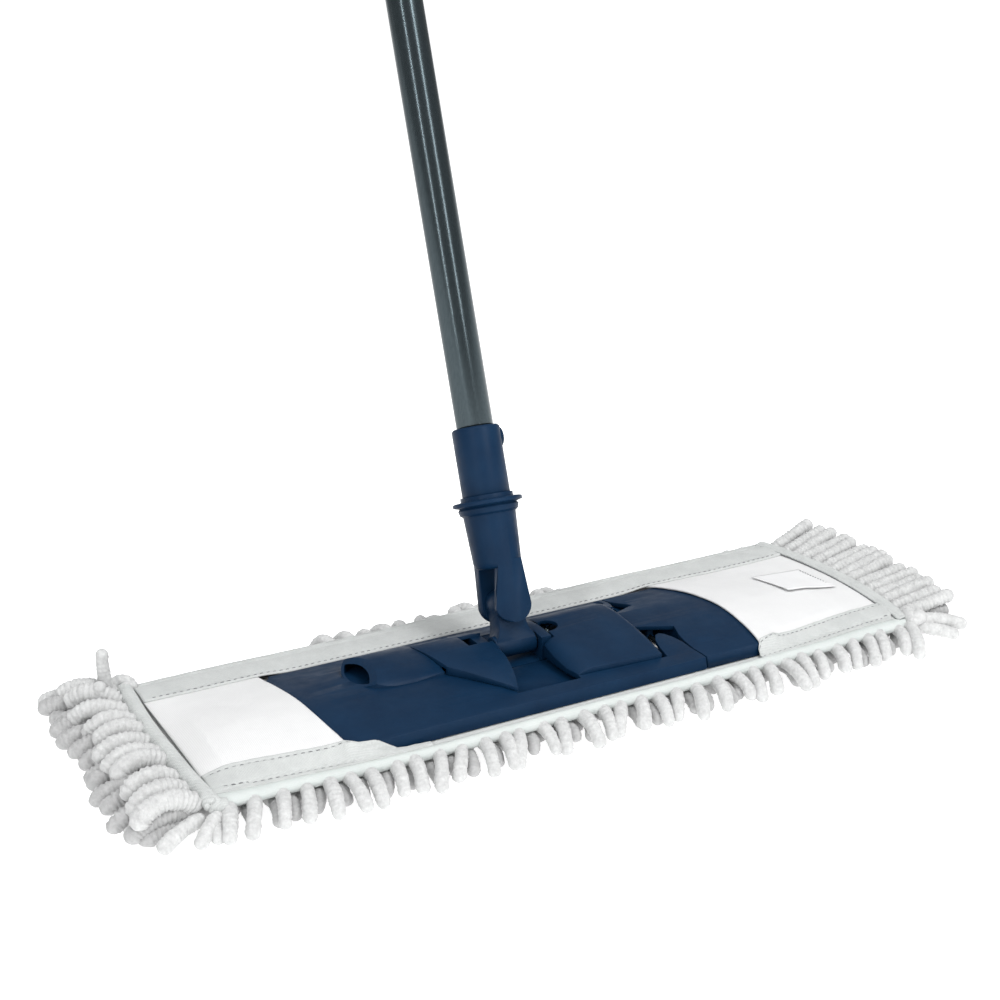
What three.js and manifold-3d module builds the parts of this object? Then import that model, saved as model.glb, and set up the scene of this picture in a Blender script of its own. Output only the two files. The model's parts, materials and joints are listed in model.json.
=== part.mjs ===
// Flat mop: a folding pocket frame with a foot pedal, a cross joint, a telescopic pole and a chenille pad.
// Millimetres. The origin is the middle of the pad's underside, +X runs along the pad towards the folding
// wing, +Y is the side the pole leans to, and +Z is up.
import * as THREE from "three";
import { mergeVertices } from "three/addons/utils/BufferGeometryUtils.js";
import Module from "manifold-3d";

const wasm = await Module();
wasm.setup();

// ---- driving dimensions ----------------------------------------------------------------------------------

const GAP = 0.3; // running gap between pieces that touch

// pad
const PAD_HALF_LENGTH = 226.5;
const PAD_HALF_DEPTH = 73;
const PILE_TOP = 11.6;
const BACKING_LOW = 11.9;
const BACKING_TOP = 14;
const BINDING_TOP = 16.1;
const BINDING_WIDTH = 21;
const END_BINDING_WIDTH = 7.5;
const BINDING_WRAP = 3.6;
const POCKET_THICKNESS = 1.6;
const POCKET_HALF_DEPTH = 70.5;
const LEFT_POCKET_MOUTH = -152;
const RIGHT_POCKET_MOUTH = 121;
const FRINGE_REACH = 28;
const END_FRINGE_REACH = 45;

// plate
const PLATE_BOTTOM = 16.5;
const PLATE_WALL = 2.4;
const PLATE_LEFT = -211;
const PLATE_RIGHT = 189;
const PLATE_FRONT = -68.5;
const PLATE_BACK = 46;
const PLATE_STRAIGHT_LEFT = -150;
const PLATE_STRAIGHT_RIGHT = 128;
const PLATE_END_TAPER = 20; // how much half the depth shrinks by the very end
const PLATE_END_DROP = 0.4; // share of the crown's height lost by the very end
const FLOOR_TOP = 19.3; // inner floor of the trough and of the pedal's well

// folding wing
const FOLD_X = 70;
const FOLD_MIDDLE_Y = -6.5; // the seams of the fold mirror about this line
const FOLD_Z = 19;
const FOLD_HALF_ANGLE = THREE.MathUtils.degToRad(38.5);
const HINGE_PIN_RADIUS = 1.5;
const HINGE_BARREL_RADIUS = 2.8;

// handle joint
const JOINT_X = -17.6;
const JOINT_Y = -6;
const JOINT_Z = 29;
const JOINT_LINK = 23.8; // from the swing axle up to the tilt pin
const LEAN = THREE.MathUtils.degToRad(22);
const SIDE_LEAN = THREE.MathUtils.degToRad(1.5);
const AXLE_RADIUS = 2;
const KNUCKLE_BARREL_RADIUS = 6.8;
const KNUCKLE_HALF_LENGTH = 13;
const EAR_RADIUS = 10.7;
const EAR_INNER = 7.6;
const EAR_OUTER = 14;

// pedal
const PEDAL_AXLE_X = 10.6;
const PEDAL_AXLE_Z = 26;
const PEDAL_WALL = 2.2;
const PEDAL_SKIRT = 22.4;
const RAISED_BACK = 24;

// pole, heights above the tilt pin
const SOCKET_FOOT = 21.8;
const SOCKET_TOP = 63.8;
const SLEEVE_TOP = 105;
const SLEEVE_RADIUS = 14.2;
const BUTTON_HEIGHT = 97.6;
const TUBE_SEAT = 68;
const TUBE_RADIUS = 11;
const TUBE_WALL = 0.9;
const LOWER_TUBE_TOP = 700;
const UPPER_TUBE_RADIUS = 9.5;
const UPPER_TUBE_WALL = 0.8;
const UPPER_TUBE_LOW = 180;
const UPPER_TUBE_TOP = 868;
const GRIP_LOW = 748;

// ---- solids from three.js geometry -----------------------------------------------------------------------

function solidOf(geometry) {
  const bare = geometry.index ? geometry.toNonIndexed() : geometry.clone();
  bare.deleteAttribute("normal");
  bare.deleteAttribute("uv");
  const merged = mergeVertices(bare, 1e-4);
  const triVerts = new Uint32Array(merged.index.array);
  const vertProperties = merged.attributes.position.array;
  const made = new wasm.Manifold(new wasm.Mesh({ numProp: 3, vertProperties, triVerts }));
  if (made.volume() > 0) return made;
  // An outline drawn the other way round gives an inside-out solid, so its faces are turned.
  for (let i = 0; i < triVerts.length; i += 3) {
    [triVerts[i + 1], triVerts[i + 2]] = [triVerts[i + 2], triVerts[i + 1]];
  }
  return new wasm.Manifold(new wasm.Mesh({ numProp: 3, vertProperties, triVerts }));
}

function geometryOf(solid) {
  const mesh = solid.getMesh();
  const geometry = new THREE.BufferGeometry();
  geometry.setAttribute("position", new THREE.BufferAttribute(mesh.vertProperties, 3));
  geometry.setIndex(new THREE.BufferAttribute(mesh.triVerts, 1));
  geometry.computeVertexNormals();
  return geometry;
}

const join = (...solids) => solids.reduce((a, b) => a.add(b));
const cut = (base, ...tools) => tools.reduce((a, b) => a.subtract(b), base);

function box([x0, x1], [y0, y1], [z0, z1]) {
  const geometry = new THREE.BoxGeometry(x1 - x0, y1 - y0, z1 - z0);
  return solidOf(geometry.translate((x0 + x1) / 2, (y0 + y1) / 2, (z0 + z1) / 2));
}

// A round bar between two points.
function rod(radius, from, to, sides = 24) {
  const start = new THREE.Vector3(...from);
  const along = new THREE.Vector3(...to).sub(start);
  const geometry = new THREE.CylinderGeometry(radius, radius, along.length(), sides);
  const up = new THREE.Vector3(0, 1, 0);
  geometry.applyQuaternion(new THREE.Quaternion().setFromUnitVectors(up, along.clone().normalize()));
  geometry.translate(...start.addScaledVector(along, 0.5).toArray());
  return solidOf(geometry);
}

// A profile of [radius, height] points turned about Z; it starts and ends on the axis, or it closes on itself.
function turned(profile, sides = 32) {
  const points = profile.map(([radius, height]) => new THREE.Vector2(radius, height));
  return solidOf(new THREE.LatheGeometry(points, sides).rotateX(Math.PI / 2));
}

function ring(inner, outer, low, high, sides = 32) {
  return turned([[inner, low], [outer, low], [outer, high], [inner, high], [inner, low]], sides);
}

function extruded(outline, depth) {
  const shape = new THREE.Shape(outline.map(([a, b]) => new THREE.Vector2(a, b)));
  return new THREE.ExtrudeGeometry(shape, { depth, bevelEnabled: false });
}

// Prisms along Z, X and Y from outlines of [x, y], [y, z] and [x, z] points.
function prismZ(outline, low, high) {
  return solidOf(extruded(outline, high - low).translate(0, 0, low));
}

function prismX(outline, low, high) {
  const turn = new THREE.Matrix4().set(0, 0, 1, low, 1, 0, 0, 0, 0, 1, 0, 0, 0, 0, 0, 1);
  return solidOf(extruded(outline, high - low).applyMatrix4(turn));
}

function prismY(outline, low, high) {
  const turn = new THREE.Matrix4().set(1, 0, 0, 0, 0, 0, -1, high, 0, 1, 0, 0, 0, 0, 0, 1);
  return solidOf(extruded(outline, high - low).applyMatrix4(turn));
}

// A closed solid through cross-sections: each station is { x, ring: [[y, z], ...] } with equal counts.
function loft(stations) {
  const contours = stations.map(({ ring }) => ring.map(([y, z]) => new THREE.Vector2(y, z)));
  if (THREE.ShapeUtils.isClockWise(contours[0])) contours.forEach((contour) => contour.reverse());
  const positions = contours.flatMap((contour, i) => contour.flatMap(({ x, y }) => [stations[i].x, x, y]));
  const count = contours[0].length;
  const indices = [];
  for (let i = 0; i + 1 < stations.length; i++) {
    for (let j = 0; j < count; j++) {
      const a = i * count + j;
      const b = i * count + ((j + 1) % count);
      indices.push(a, b, a + count, b, b + count, a + count);
    }
  }
  for (const [a, b, c] of THREE.ShapeUtils.triangulateShape(contours[0], [])) indices.push(a, c, b);
  const last = (stations.length - 1) * count;
  for (const [a, b, c] of THREE.ShapeUtils.triangulateShape(contours.at(-1), [])) {
    indices.push(last + a, last + b, last + c);
  }
  const geometry = new THREE.BufferGeometry();
  geometry.setAttribute("position", new THREE.Float32BufferAttribute(positions, 3));
  geometry.setIndex(indices);
  return solidOf(geometry);
}

function mirrored(outline) {
  return outline.map(([x, y]) => [x, 2 * FOLD_MIDDLE_Y - y]).reverse();
}

// ---- cross-section curves, [y, z] ------------------------------------------------------------------------

function curveThrough(points, divisions) {
  const curve = new THREE.SplineCurve(points.map(([y, z]) => new THREE.Vector2(y, z)));
  return curve.getPoints(divisions).map(({ x, y }) => [x, y]);
}

function heightOn(curve, y) {
  const i = Math.max(1, curve.findIndex(([at]) => at >= y));
  const [y0, z0] = curve[i - 1];
  const [y1, z1] = curve[i];
  return z0 + ((z1 - z0) * (y - y0)) / (y1 - y0);
}

// The plate's crown is steep at the front lip and falls away slowly to the back.
const CROWN = curveThrough(
  [[-67, 23.3], [-60, 24.6], [-45, 26.7], [-24, 28.2], [-10, 27.6], [5, 26], [20, 23.6], [33, 20.9], [45.4, 17.8]],
  22,
);
// The saddle and the pedal share one raised back over the joint.
const RAISED = curveThrough(
  [[-57.6, 27.5], [-45, 30.2], [-30, 32.7], [-15, 34.4], [-3, 35], [8, 34.1], [15, 31.9], [20, 29.1], [24, 26]],
  18,
);
const HUMP = curveThrough(
  [[-24, 27.4], [-21.5, 29.6], [-17, 31.6], [-9, 33.5], [0, 34.2], [10, 33.6], [19, 31.2], [26, 27], [30, 22.2]],
  18,
);
// How far the raised back falls away at the rounded left and right edges, as [x, drop].
const PEDAL_EDGES = [
  [-8, 9], [-3.4, 5.4], [-1.6, 3.4], [1, 1.7], [4, 0.6], [8, 0], [51.4, 0], [53.4, 0.5], [54.6, 1.3], [60, 3],
];
const SADDLE_EDGES = [[-80, 0], [-37, 0], [-34, 0.4], [-31.6, 1.3], [-30, 2.4]];

const PLATE_MIDDLE = (PLATE_FRONT + PLATE_BACK) / 2;
const PLATE_HALF = (PLATE_BACK - PLATE_FRONT) / 2;

// 0 in the plate's straight middle, 1 at its very end.
function endShare(x) {
  const left = (PLATE_STRAIGHT_LEFT - x) / (PLATE_STRAIGHT_LEFT - PLATE_LEFT);
  const right = (x - PLATE_STRAIGHT_RIGHT) / (PLATE_RIGHT - PLATE_STRAIGHT_RIGHT);
  return THREE.MathUtils.clamp(Math.max(left, right), 0, 1);
}

// The plate's outer cross-section at x, or the section that lies grow outside it.
function plateSection(x, grow) {
  const share = endShare(x);
  const narrow = 1 - (PLATE_END_TAPER * Math.sqrt(share)) / PLATE_HALF;
  const widen = narrow * (1 + grow / PLATE_HALF);
  const lower = 1 - PLATE_END_DROP * share;
  const across = (y) => PLATE_MIDDLE + (y - PLATE_MIDDLE) * widen;
  const above = (z) => Math.max(PLATE_BOTTOM, PLATE_BOTTOM + (z - PLATE_BOTTOM) * lower + grow);
  const top = CROWN.map(([y, z]) => [across(y), above(z)]);
  const ring = [[across(PLATE_FRONT), PLATE_BOTTOM], ...top, [across(PLATE_BACK), PLATE_BOTTOM]];
  if (grow === 0) return ring;
  const below = PLATE_BOTTOM - 5;
  return [[across(PLATE_FRONT), below], ...ring, [across(PLATE_BACK), below]];
}

// Stations are close together where the ends taper and far apart in the straight middle.
function plateStations(from, to) {
  const shares = [0, 0.02, 0.08, 0.2, 0.4, 0.7, 1];
  const left = shares.map((t) => PLATE_STRAIGHT_LEFT + (PLATE_LEFT - PLATE_STRAIGHT_LEFT) * t);
  const right = shares.map((t) => PLATE_STRAIGHT_RIGHT + (PLATE_RIGHT - PLATE_STRAIGHT_RIGHT) * t);
  const inside = [...left, ...right].filter((x) => x > from + 1 && x < to - 1);
  return [from, ...inside, to].sort((a, b) => a - b);
}

function plateSolid(from, to, grow) {
  return loft(plateStations(from, to).map((x) => ({ x, ring: plateSection(x, grow) })));
}

// A solid under a curve, down to a flat foot, between two x values.
function underCurve(curve, foot, from, to, drop = 0) {
  const section = curve.map(([y, z]) => [y, z - drop]);
  return prismX([[curve[0][0], foot], ...section, [curve.at(-1)[0], foot]], from, to);
}

// The same, with its surface falling away by the [x, drop] pairs.
function softUnder(curve, foot, edges, lower = 0) {
  const height = (z, drop) => Math.max(foot + 0.8, z - drop - lower);
  return loft(edges.map(([x, drop]) => ({
    x,
    ring: [[curve[0][0], foot], ...curve.map(([y, z]) => [y, height(z, drop)]), [curve.at(-1)[0], foot]],
  })));
}

// ---- plan outlines, [x, y] -------------------------------------------------------------------------------

// Edge of the claw that reaches round the fold, from the plate's lip to the claw's inner side.
const CLAW = [
  [79, -76], [77.4, -66], [75, -56], [74.2, -48], [72, -40.5], [69.5, -35.4], [67, -33.4], [64, -34.4], [60.5, -40],
];
const NOTCH = [
  [80, -76], [78.4, -66], [76, -56], [75.8, -48], [77, -40], [80.5, -29.6], [61.5, -20.5], [57.8, -19.4],
];
const WING_SPACE = [
  ...CLAW, [58, -49], [56.8, -57.8], [56.8, 27], ...mirrored(CLAW), [260, 76], [260, -76],
];
const WING_PLAN = [...NOTCH, ...mirrored(NOTCH), [260, 76], [260, -76]];

const SADDLE_PLAN = [
  [-68.6, -23.6], [-41.6, -56], [-38, -47], [-34.8, -36], [-31.9, -25], [-31, -16], [-31, 14],
  [-31.6, RAISED_BACK], [-76.4, RAISED_BACK], [-74.6, 4], [-71.6, -10],
];
const PEDAL_PLAN = [
  [-2.6, -17.6], [-3.4, -30], [-3, -44], [-1, -54.4], [53.4, -57], [54.4, -42], [54, 0], [54, RAISED_BACK],
  [4.4, RAISED_BACK], [4.4, -17.6],
];
const PEDAL_WELL = [
  [-3.2, -16], [-4, -30], [-3.6, -44], [-1.6, -55], [54, -57.8], [56.8, -57.8], [56.8, 25.4], [3.6, 25.4],
  [3.6, -16],
];
const TROUGH = [
  [-31.4, -15], [-35.4, -36], [-42.2, -56.8], [-1.6, -57.6], [-3, -15], [4, -15], [4, 25.4], [-32.4, 25.4],
  [-31.4, 14],
];
const HUMP_NOSE = curveThrough(
  [[-88, -22.8], [-103, -22], [-112, -17.5], [-117.6, -9], [-119.8, 2], [-118, 14], [-111, 23], [-98, 28.6],
    [-86, 30]],
  20,
);
const HUMP_PLAN = [...HUMP_NOSE, [-77.6, 30], [-77, 22], [-75.2, 4], [-72.2, -10], [-69.6, -21.4]];
const HUMP_FOOT = 20.5;
// Centres of the saddle's two screws in plan.
const SCREWS = [[-50, -20], [-52, 12]];

// Floor of the trough in [y, z]: a ramp in from the front lip, flat under the joint, a ramp out at the back.
const TROUGH_FLOOR = [[-58, 24.8], [-47, FLOOR_TOP], [15, FLOOR_TOP], [25.6, 22.2], [60, 60], [-70, 60]];

const UNDER = -10;
const OVER = 80;

// ---- frame -----------------------------------------------------------------------------------------------

function plateShell() {
  const outer = plateSolid(PLATE_LEFT, PLATE_RIGHT, 0);
  const inner = plateSolid(PLATE_LEFT + PLATE_WALL, PLATE_RIGHT - PLATE_WALL, -PLATE_WALL);
  return { outer, inner };
}

function plateRibs(outer, stations) {
  const ribs = stations.map((x) => box([x, x + 1.8], [-66, 49], [PLATE_BOTTOM, OVER]));
  return join(...ribs).intersect(outer);
}

// A half barrel whose left end is cut off on the slant.
function hump() {
  const barrel = underCurve(HUMP, HUMP_FOOT, -122, -68).intersect(prismZ(HUMP_PLAN, UNDER, OVER));
  const slant = prismY([[-126, 22.2], [-103, 35], [-103, 45], [-126, 45]], -40, 40);
  const underside = box([-85, -71], [-17, 15], [UNDER, 27.6]);
  return cut(barrel, slant, underside);
}

// The hollow that runs into the hump from its slanted end.
function humpTunnel() {
  const floor = HUMP_FOOT + 3;
  const inner = HUMP.map(([y, z]) => [2 + (y - 2) * 0.9, Math.max(floor + 0.5, z - PLATE_WALL)]);
  const plan = HUMP_PLAN.map(([x, y]) => [-98 + (x + 98) * 0.93, 3 + (y - 3) * 0.91]);
  return underCurve(inner, floor, -122, -88).intersect(prismZ(plan, UNDER, OVER));
}

function pedalLugs() {
  const lug = (y0, y1) => join(
    box([PEDAL_AXLE_X - 3.2, PEDAL_AXLE_X + 3.2], [y0, y1], [FLOOR_TOP - 1, PEDAL_AXLE_Z]),
    rod(3.2, [PEDAL_AXLE_X, y0, PEDAL_AXLE_Z], [PEDAL_AXLE_X, y1, PEDAL_AXLE_Z]),
  );
  return join(lug(-8.2, -5.6), lug(10.6, 13.6));
}

function latchGuides() {
  return join(
    box([30, 48], [-13.6, -11.4], [FLOOR_TOP - 1, 23]),
    box([30, 48], [-2.6, -0.4], [FLOOR_TOP - 1, 23]),
    box([14, 16.4], [-11, -3], [FLOOR_TOP - 1, 26]),
  );
}

function hingeLug(y0, y1, top) {
  return join(
    rod(HINGE_BARREL_RADIUS, [FOLD_X, y0, FOLD_Z], [FOLD_X, y1, FOLD_Z]),
    box([FOLD_X - 2, FOLD_X + 2], [y0, y1], [FOLD_Z, top]),
  );
}

const hingeBore = () =>
  rod(HINGE_PIN_RADIUS + GAP, [FOLD_X, -60, FOLD_Z], [FOLD_X, 60, FOLD_Z]);

function saddleScrewHoles(radius, low, high) {
  return join(...SCREWS.map(([x, y]) => rod(radius, [x, y, low], [x, y, high], 16)));
}

function mainPlate() {
  const { outer, inner } = plateShell();
  const well = join(prismZ(PEDAL_WELL, FLOOR_TOP, OVER), troughCut());
  const wellWalls = join(
    box([-44.6, 59.2], [-60.2, 27.8], [FLOOR_TOP - PLATE_WALL, OVER]),
  );
  const shell = cut(outer, cut(inner, wellWalls), well);
  const ribs = plateRibs(outer, [-185, -160, -120, -90, -64]);
  const humpBody = hump();
  const bosses = SCREWS.map(([x, y]) => rod(3.6, [x, y, PLATE_BOTTOM], [x, y, heightOn(CROWN, y) - 0.4], 20));
  const lugs = join(hingeLug(-45.5, -37, 25), hingeLug(21.6, 27.4, 20));
  const bridgeHole = box([-36.4, 4.3], [-16.4, 14.4], [UNDER, OVER]);
  const seam = prismZ(WING_SPACE, UNDER, OVER);
  const body = cut(join(shell, ribs, humpBody, ...bosses), humpTunnel(), seam, bridgeHole);
  // Small floors close the two notches of the fold from below.
  const floors = [[-38, -20.4], [7.4, 24]].map((depth) => box([55, 66.6], depth, [16.9, 18.1]));
  const fitted = join(body, lugs, pedalLugs(), latchGuides(), ...floors);
  return cut(fitted, hingeBore(), pedalAxleBore(), saddleScrewHoles(1.6, UNDER, OVER));
}

function troughCut() {
  return prismX(TROUGH_FLOOR, -46, 6).intersect(prismZ(TROUGH, UNDER, OVER));
}

const pedalAxleBore = () =>
  rod(1.5 + GAP, [PEDAL_AXLE_X, -30, PEDAL_AXLE_Z], [PEDAL_AXLE_X, 60, PEDAL_AXLE_Z]);

function rightWing() {
  const { outer, inner } = plateShell();
  const ribs = plateRibs(outer, [96, 122, 150, 170]);
  const tongueEnd = box([57.8, 60.2], [-20, 7], [FLOOR_TOP + 4, OVER]).intersect(outer);
  const ledge = box([57.8, 62], [-11, -3], [17, 19.4]);
  const ledgeWeb = box([60, 62], [-11, -3], [17, 27]).intersect(outer);
  const barrel = hingeLug(-20, 7, 24);
  const plan = prismZ(WING_PLAN, UNDER, OVER);
  const body = join(cut(outer, inner), ribs, tongueEnd).intersect(plan);
  const notchFloor = join(box([73.6, 82.6], [-46, 32], [16.5, 17.9]), box([81, 82.6], [-46, 32], [16.5, OVER]));
  return cut(join(body, barrel, ledge, ledgeWeb, notchFloor.intersect(outer)), hingeBore());
}

function wingHingePin() {
  return rod(HINGE_PIN_RADIUS, [FOLD_X, -45, FOLD_Z], [FOLD_X, 27, FOLD_Z], 20);
}

function jointSaddle() {
  const clear = GAP + 0.1;
  const raised = softUnder(RAISED, 18, SADDLE_EDGES).intersect(prismZ(SADDLE_PLAN, UNDER, OVER));
  const overPlate = cut(raised, underCurve(CROWN, 0, -90, -30, -clear));
  const cheek = (x0, x1) => underCurve(RAISED, 19, x0, x1, 0.5).intersect(box([x0, x1], [-16, 14], [16, OVER]));
  const bridge = box([-36, 3.2], [-16, 14], [16.7, 19.4]);
  const stems = SCREWS.map(([x, y]) => rod(3, [x, y, heightOn(CROWN, y) + clear], [x, y, 32.4], 16));
  const pilots = SCREWS.map(([x, y]) => rod(1.5, [x, y, UNDER], [x, y, screwTip(y) + 0.4], 16));
  const axle = rod(AXLE_RADIUS + GAP, [-36.8, JOINT_Y, JOINT_Z], [1.6, JOINT_Y, JOINT_Z]);
  const trimmed = cut(overPlate, hollowUnder(RAISED, SADDLE_PLAN, -70, -38));
  const window = box([-46.5, -30], [-7, 8], [31.9, OVER]);
  const whole = join(trimmed, cheek(-36, -31), cheek(-3.2, 3.2), bridge, ...stems);
  return cut(whole, axle, window, ...pilots);
}

// The space inside a thin cover of the raised shape, kept away from the cover's plan outline.
function hollowUnder(curve, plan, from, to) {
  const shape = underCurve(curve, 0, from, to, PEDAL_WALL);
  return shape.intersect(box([from, to], [-22, 21.6], [0, OVER])).intersect(prismZ(plan, UNDER, OVER));
}

const screwTip = (y) => heightOn(CROWN, y) + 2.6;

function saddleScrew([x, y]) {
  const tip = screwTip(y);
  return turned([
    [0, PLATE_BOTTOM - 1.8], [2.8, PLATE_BOTTOM - 1.8], [2.8, PLATE_BOTTOM - GAP], [1.2, PLATE_BOTTOM - GAP],
    [1.2, tip - 1.4], [0, tip],
  ], 16).translate([x, y, 0]);
}

function footPedal() {
  const skin = softUnder(RAISED, PEDAL_SKIRT, PEDAL_EDGES).intersect(prismZ(PEDAL_PLAN, UNDER, OVER));
  const inside = softUnder(RAISED, 10, PEDAL_EDGES, PEDAL_WALL);
  const shrunk = PEDAL_PLAN.map(([x, y]) => [
    x + PEDAL_WALL * (x < 20 ? 1 : -1),
    y > 0 ? y - PEDAL_WALL : y < -50 ? y + PEDAL_WALL : y < -17 && y > -18 ? y + PEDAL_WALL : y,
  ]);
  const shell = cut(skin, inside.intersect(prismZ(shrunk, UNDER, OVER)));
  const boss = (y0, y1) => join(
    rod(3.4, [PEDAL_AXLE_X, y0, PEDAL_AXLE_Z], [PEDAL_AXLE_X, y1, PEDAL_AXLE_Z]),
    box([PEDAL_AXLE_X - 3, PEDAL_AXLE_X + 3], [y0, y1], [PEDAL_AXLE_Z, 40]),
  ).intersect(underCurve(RAISED, 0, -8, 60, 0.5));
  // A sloped rib pushes the latch bolt back as the pedal goes down.
  const cam = prismY([[41, 28.6], [43.8, 25.8], [48, 25.8], [48, 40], [41, 40]], -10, -4)
    .intersect(underCurve(RAISED, 0, -8, 60, 0.5));
  // The spring shows through a round window in the corner beside the joint.
  const window = rod(7, [6.6, -3, 30], [6.6, -6, 44], 24);
  const boltSlot = box([51, 60], [-12.4, -1.6], [10, 26.4]);
  const solid = join(shell, boss(-12.4, -8.6), boss(14, 17.6), cam);
  return cut(solid, pedalAxleBore(), window, boltSlot);
}

function pedalAxle() {
  return rod(1.5, [PEDAL_AXLE_X, -12, PEDAL_AXLE_Z], [PEDAL_AXLE_X, 17.4, PEDAL_AXLE_Z], 20);
}

// A wire bent along a curve; the section has six sides.
function wire(curve, radius, steps) {
  const section = new THREE.Shape();
  section.absarc(0, 0, radius, 0, 2 * Math.PI, false);
  const settings = { steps, bevelEnabled: false, extrudePath: curve, curveSegments: 3 };
  return solidOf(new THREE.ExtrudeGeometry(section, settings));
}

class CoilCurve extends THREE.Curve {
  constructor(radius, length, turns) {
    super();
    Object.assign(this, { radius, length, turns });
  }

  getPoint(t, target = new THREE.Vector3()) {
    const angle = 2 * Math.PI * this.turns * t;
    return target.set(this.radius * Math.cos(angle), this.length * t, this.radius * Math.sin(angle));
  }
}

function pedalSpring() {
  const coil = wire(new CoilCurve(2.6, 12, 6), 0.45, 72);
  const leg = rod(0.45, [2.6, 0.1, 0], [2.6, 0.1, -6], 8);
  const arm = rod(0.45, [2.6, 11.9, 0], [13, 11.9, 4.6], 8);
  return join(coil, leg, arm).translate([PEDAL_AXLE_X, -3.4, PEDAL_AXLE_Z]);
}

function latchBolt() {
  const body = box([30, 52.8], [-11, -3], [FLOOR_TOP + GAP, 23.2]);
  const nose = box([52.6, 57], [-10, -4], [20.2, 22.4]);
  const post = prismY([[35, 23], [44.6, 23], [44.6, 24], [40, 28.6], [35, 28.6]], -10, -4);
  return join(body, nose, post);
}

function latchSpring() {
  const coil = wire(new CoilCurve(2.2, 12.6, 7), 0.45, 84);
  return coil.rotate([0, 0, -90]).translate([16.8, -7, 22.4]);
}

// ---- joint and pole, in the leaning frame: origin on the swing axle, +Z along the pole -------------------

function swingAxle() {
  return rod(AXLE_RADIUS, [-36.4, JOINT_Y, JOINT_Z], [1.2, JOINT_Y, JOINT_Z], 20);
}

function knuckle() {
  const barrel = rod(KNUCKLE_BARREL_RADIUS, [-KNUCKLE_HALF_LENGTH, 0, 0], [KNUCKLE_HALF_LENGTH, 0, 0], 32);
  const flare = [[13, 0], [12.2, 3.6], [10.4, 6.6], [9.2, 10.4], [8.5, 15], [8.4, 23]];
  const neck = prismY([...flare, ...flare.map(([x, z]) => [-x, z]).reverse()], -6.4, 6.4);
  const head = rod(9, [0, -7.3, JOINT_LINK], [0, 7.3, JOINT_LINK], 32);
  const axle = rod(AXLE_RADIUS + GAP, [-20, 0, 0], [20, 0, 0]);
  const pin = rod(AXLE_RADIUS + GAP, [0, -20, JOINT_LINK], [0, 20, JOINT_LINK]);
  return cut(join(barrel, neck, head), axle, pin);
}

// The pieces above the tilt pin have their own frame, with its origin on the pin.
function earOutline(topLeft) {
  const outline = [];
  for (let step = 0; step <= 18; step++) {
    const angle = Math.PI * (1.04 + (0.92 * step) / 18);
    outline.push([EAR_RADIUS * Math.cos(angle), EAR_RADIUS * Math.sin(angle)]);
  }
  outline.push([8.8, SOCKET_FOOT + 4], [topLeft, SOCKET_FOOT + 4]);
  return outline;
}

// The front ear is narrower at its root and its left edge is cut off on the slant.
function ears() {
  const slant = prismZ([[-14, -8.8], [-14, -16], [-0.6, -16], [-0.6, -EAR_OUTER]], -14, SOCKET_FOOT + 5);
  const front = cut(prismY(earOutline(-5.4), -EAR_OUTER, -EAR_INNER), slant);
  return join(prismY(earOutline(-8.8), EAR_INNER, EAR_OUTER), front);
}

function handleSocket() {
  const cone = turned([
    [0, SOCKET_FOOT], [11.6, SOCKET_FOOT], [13, SOCKET_FOOT + 0.9], [14.2, SOCKET_FOOT + 3.6], [15.6, 53.4],
    [17.2, 54.6], [18, 57.4], [17, 58.6], [20.6, 59.6], [20.6, 61.2], [19.8, 61.9], [15.6, 62.4],
    [15.6, SOCKET_TOP + 1], [SLEEVE_RADIUS + GAP, SOCKET_TOP + 1], [SLEEVE_RADIUS + GAP, SOCKET_TOP],
    [12.4, SOCKET_TOP], [12.4, 34], [0, 34],
  ], 40);
  const pin = rod(AXLE_RADIUS + GAP, [0, -11.4, 0], [0, 20, 0]);
  return cut(join(cone, ears()), pin);
}

function tiltPin() {
  return rod(AXLE_RADIUS, [0, -11, 0], [0, 13.6, 0], 20);
}

function poleSleeve() {
  const body = turned([
    [9.6, 34.4], [12, 34.4], [12, SOCKET_TOP + 0.4], [SLEEVE_RADIUS, SOCKET_TOP + 0.4],
    [SLEEVE_RADIUS, SLEEVE_TOP - 1.2], [SLEEVE_RADIUS - 1.2, SLEEVE_TOP], [TUBE_RADIUS + GAP, SLEEVE_TOP],
    [TUBE_RADIUS + GAP, TUBE_SEAT], [9.6, TUBE_SEAT], [9.6, 34.4],
  ], 40);
  const boss = rod(6, [12.4, 0, BUTTON_HEIGHT], [SLEEVE_RADIUS + 0.7, 0, BUTTON_HEIGHT]);
  const hole = rod(3.5 + GAP, [0, 0, BUTTON_HEIGHT], [20, 0, BUTTON_HEIGHT]);
  return cut(join(body, boss), hole);
}

function snapButton() {
  return turned([[0, 7], [4.6, 7], [4.6, 8.4], [3.5, 8.4], [3.5, 15.6], [2.6, 16.3], [0, 16.6]], 24)
    .rotate([0, 90, 0])
    .translate([0, 0, BUTTON_HEIGHT]);
}

function buttonClip() {
  const outer = [[-9.4, 19], [-9.4, -13], [-5.2, -17], [2.4, -17], [6.6, -13], [6.6, 11]];
  const inner = [[5.8, 11], [5.8, -12.6], [2, -16.2], [-4.8, -16.2], [-8.6, -12.6], [-8.6, 19]];
  return prismY([...outer, ...inner], -3, 3).translate([0, 0, BUTTON_HEIGHT]);
}

function tube(radius, wall, low, high) {
  return ring(radius - wall, radius, low, high, 36);
}

function lowerTube() {
  const hole = rod(3.5 + GAP, [0, 0, BUTTON_HEIGHT], [20, 0, BUTTON_HEIGHT]);
  return cut(tube(TUBE_RADIUS, TUBE_WALL, TUBE_SEAT + 0.4, LOWER_TUBE_TOP), hole);
}

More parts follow.
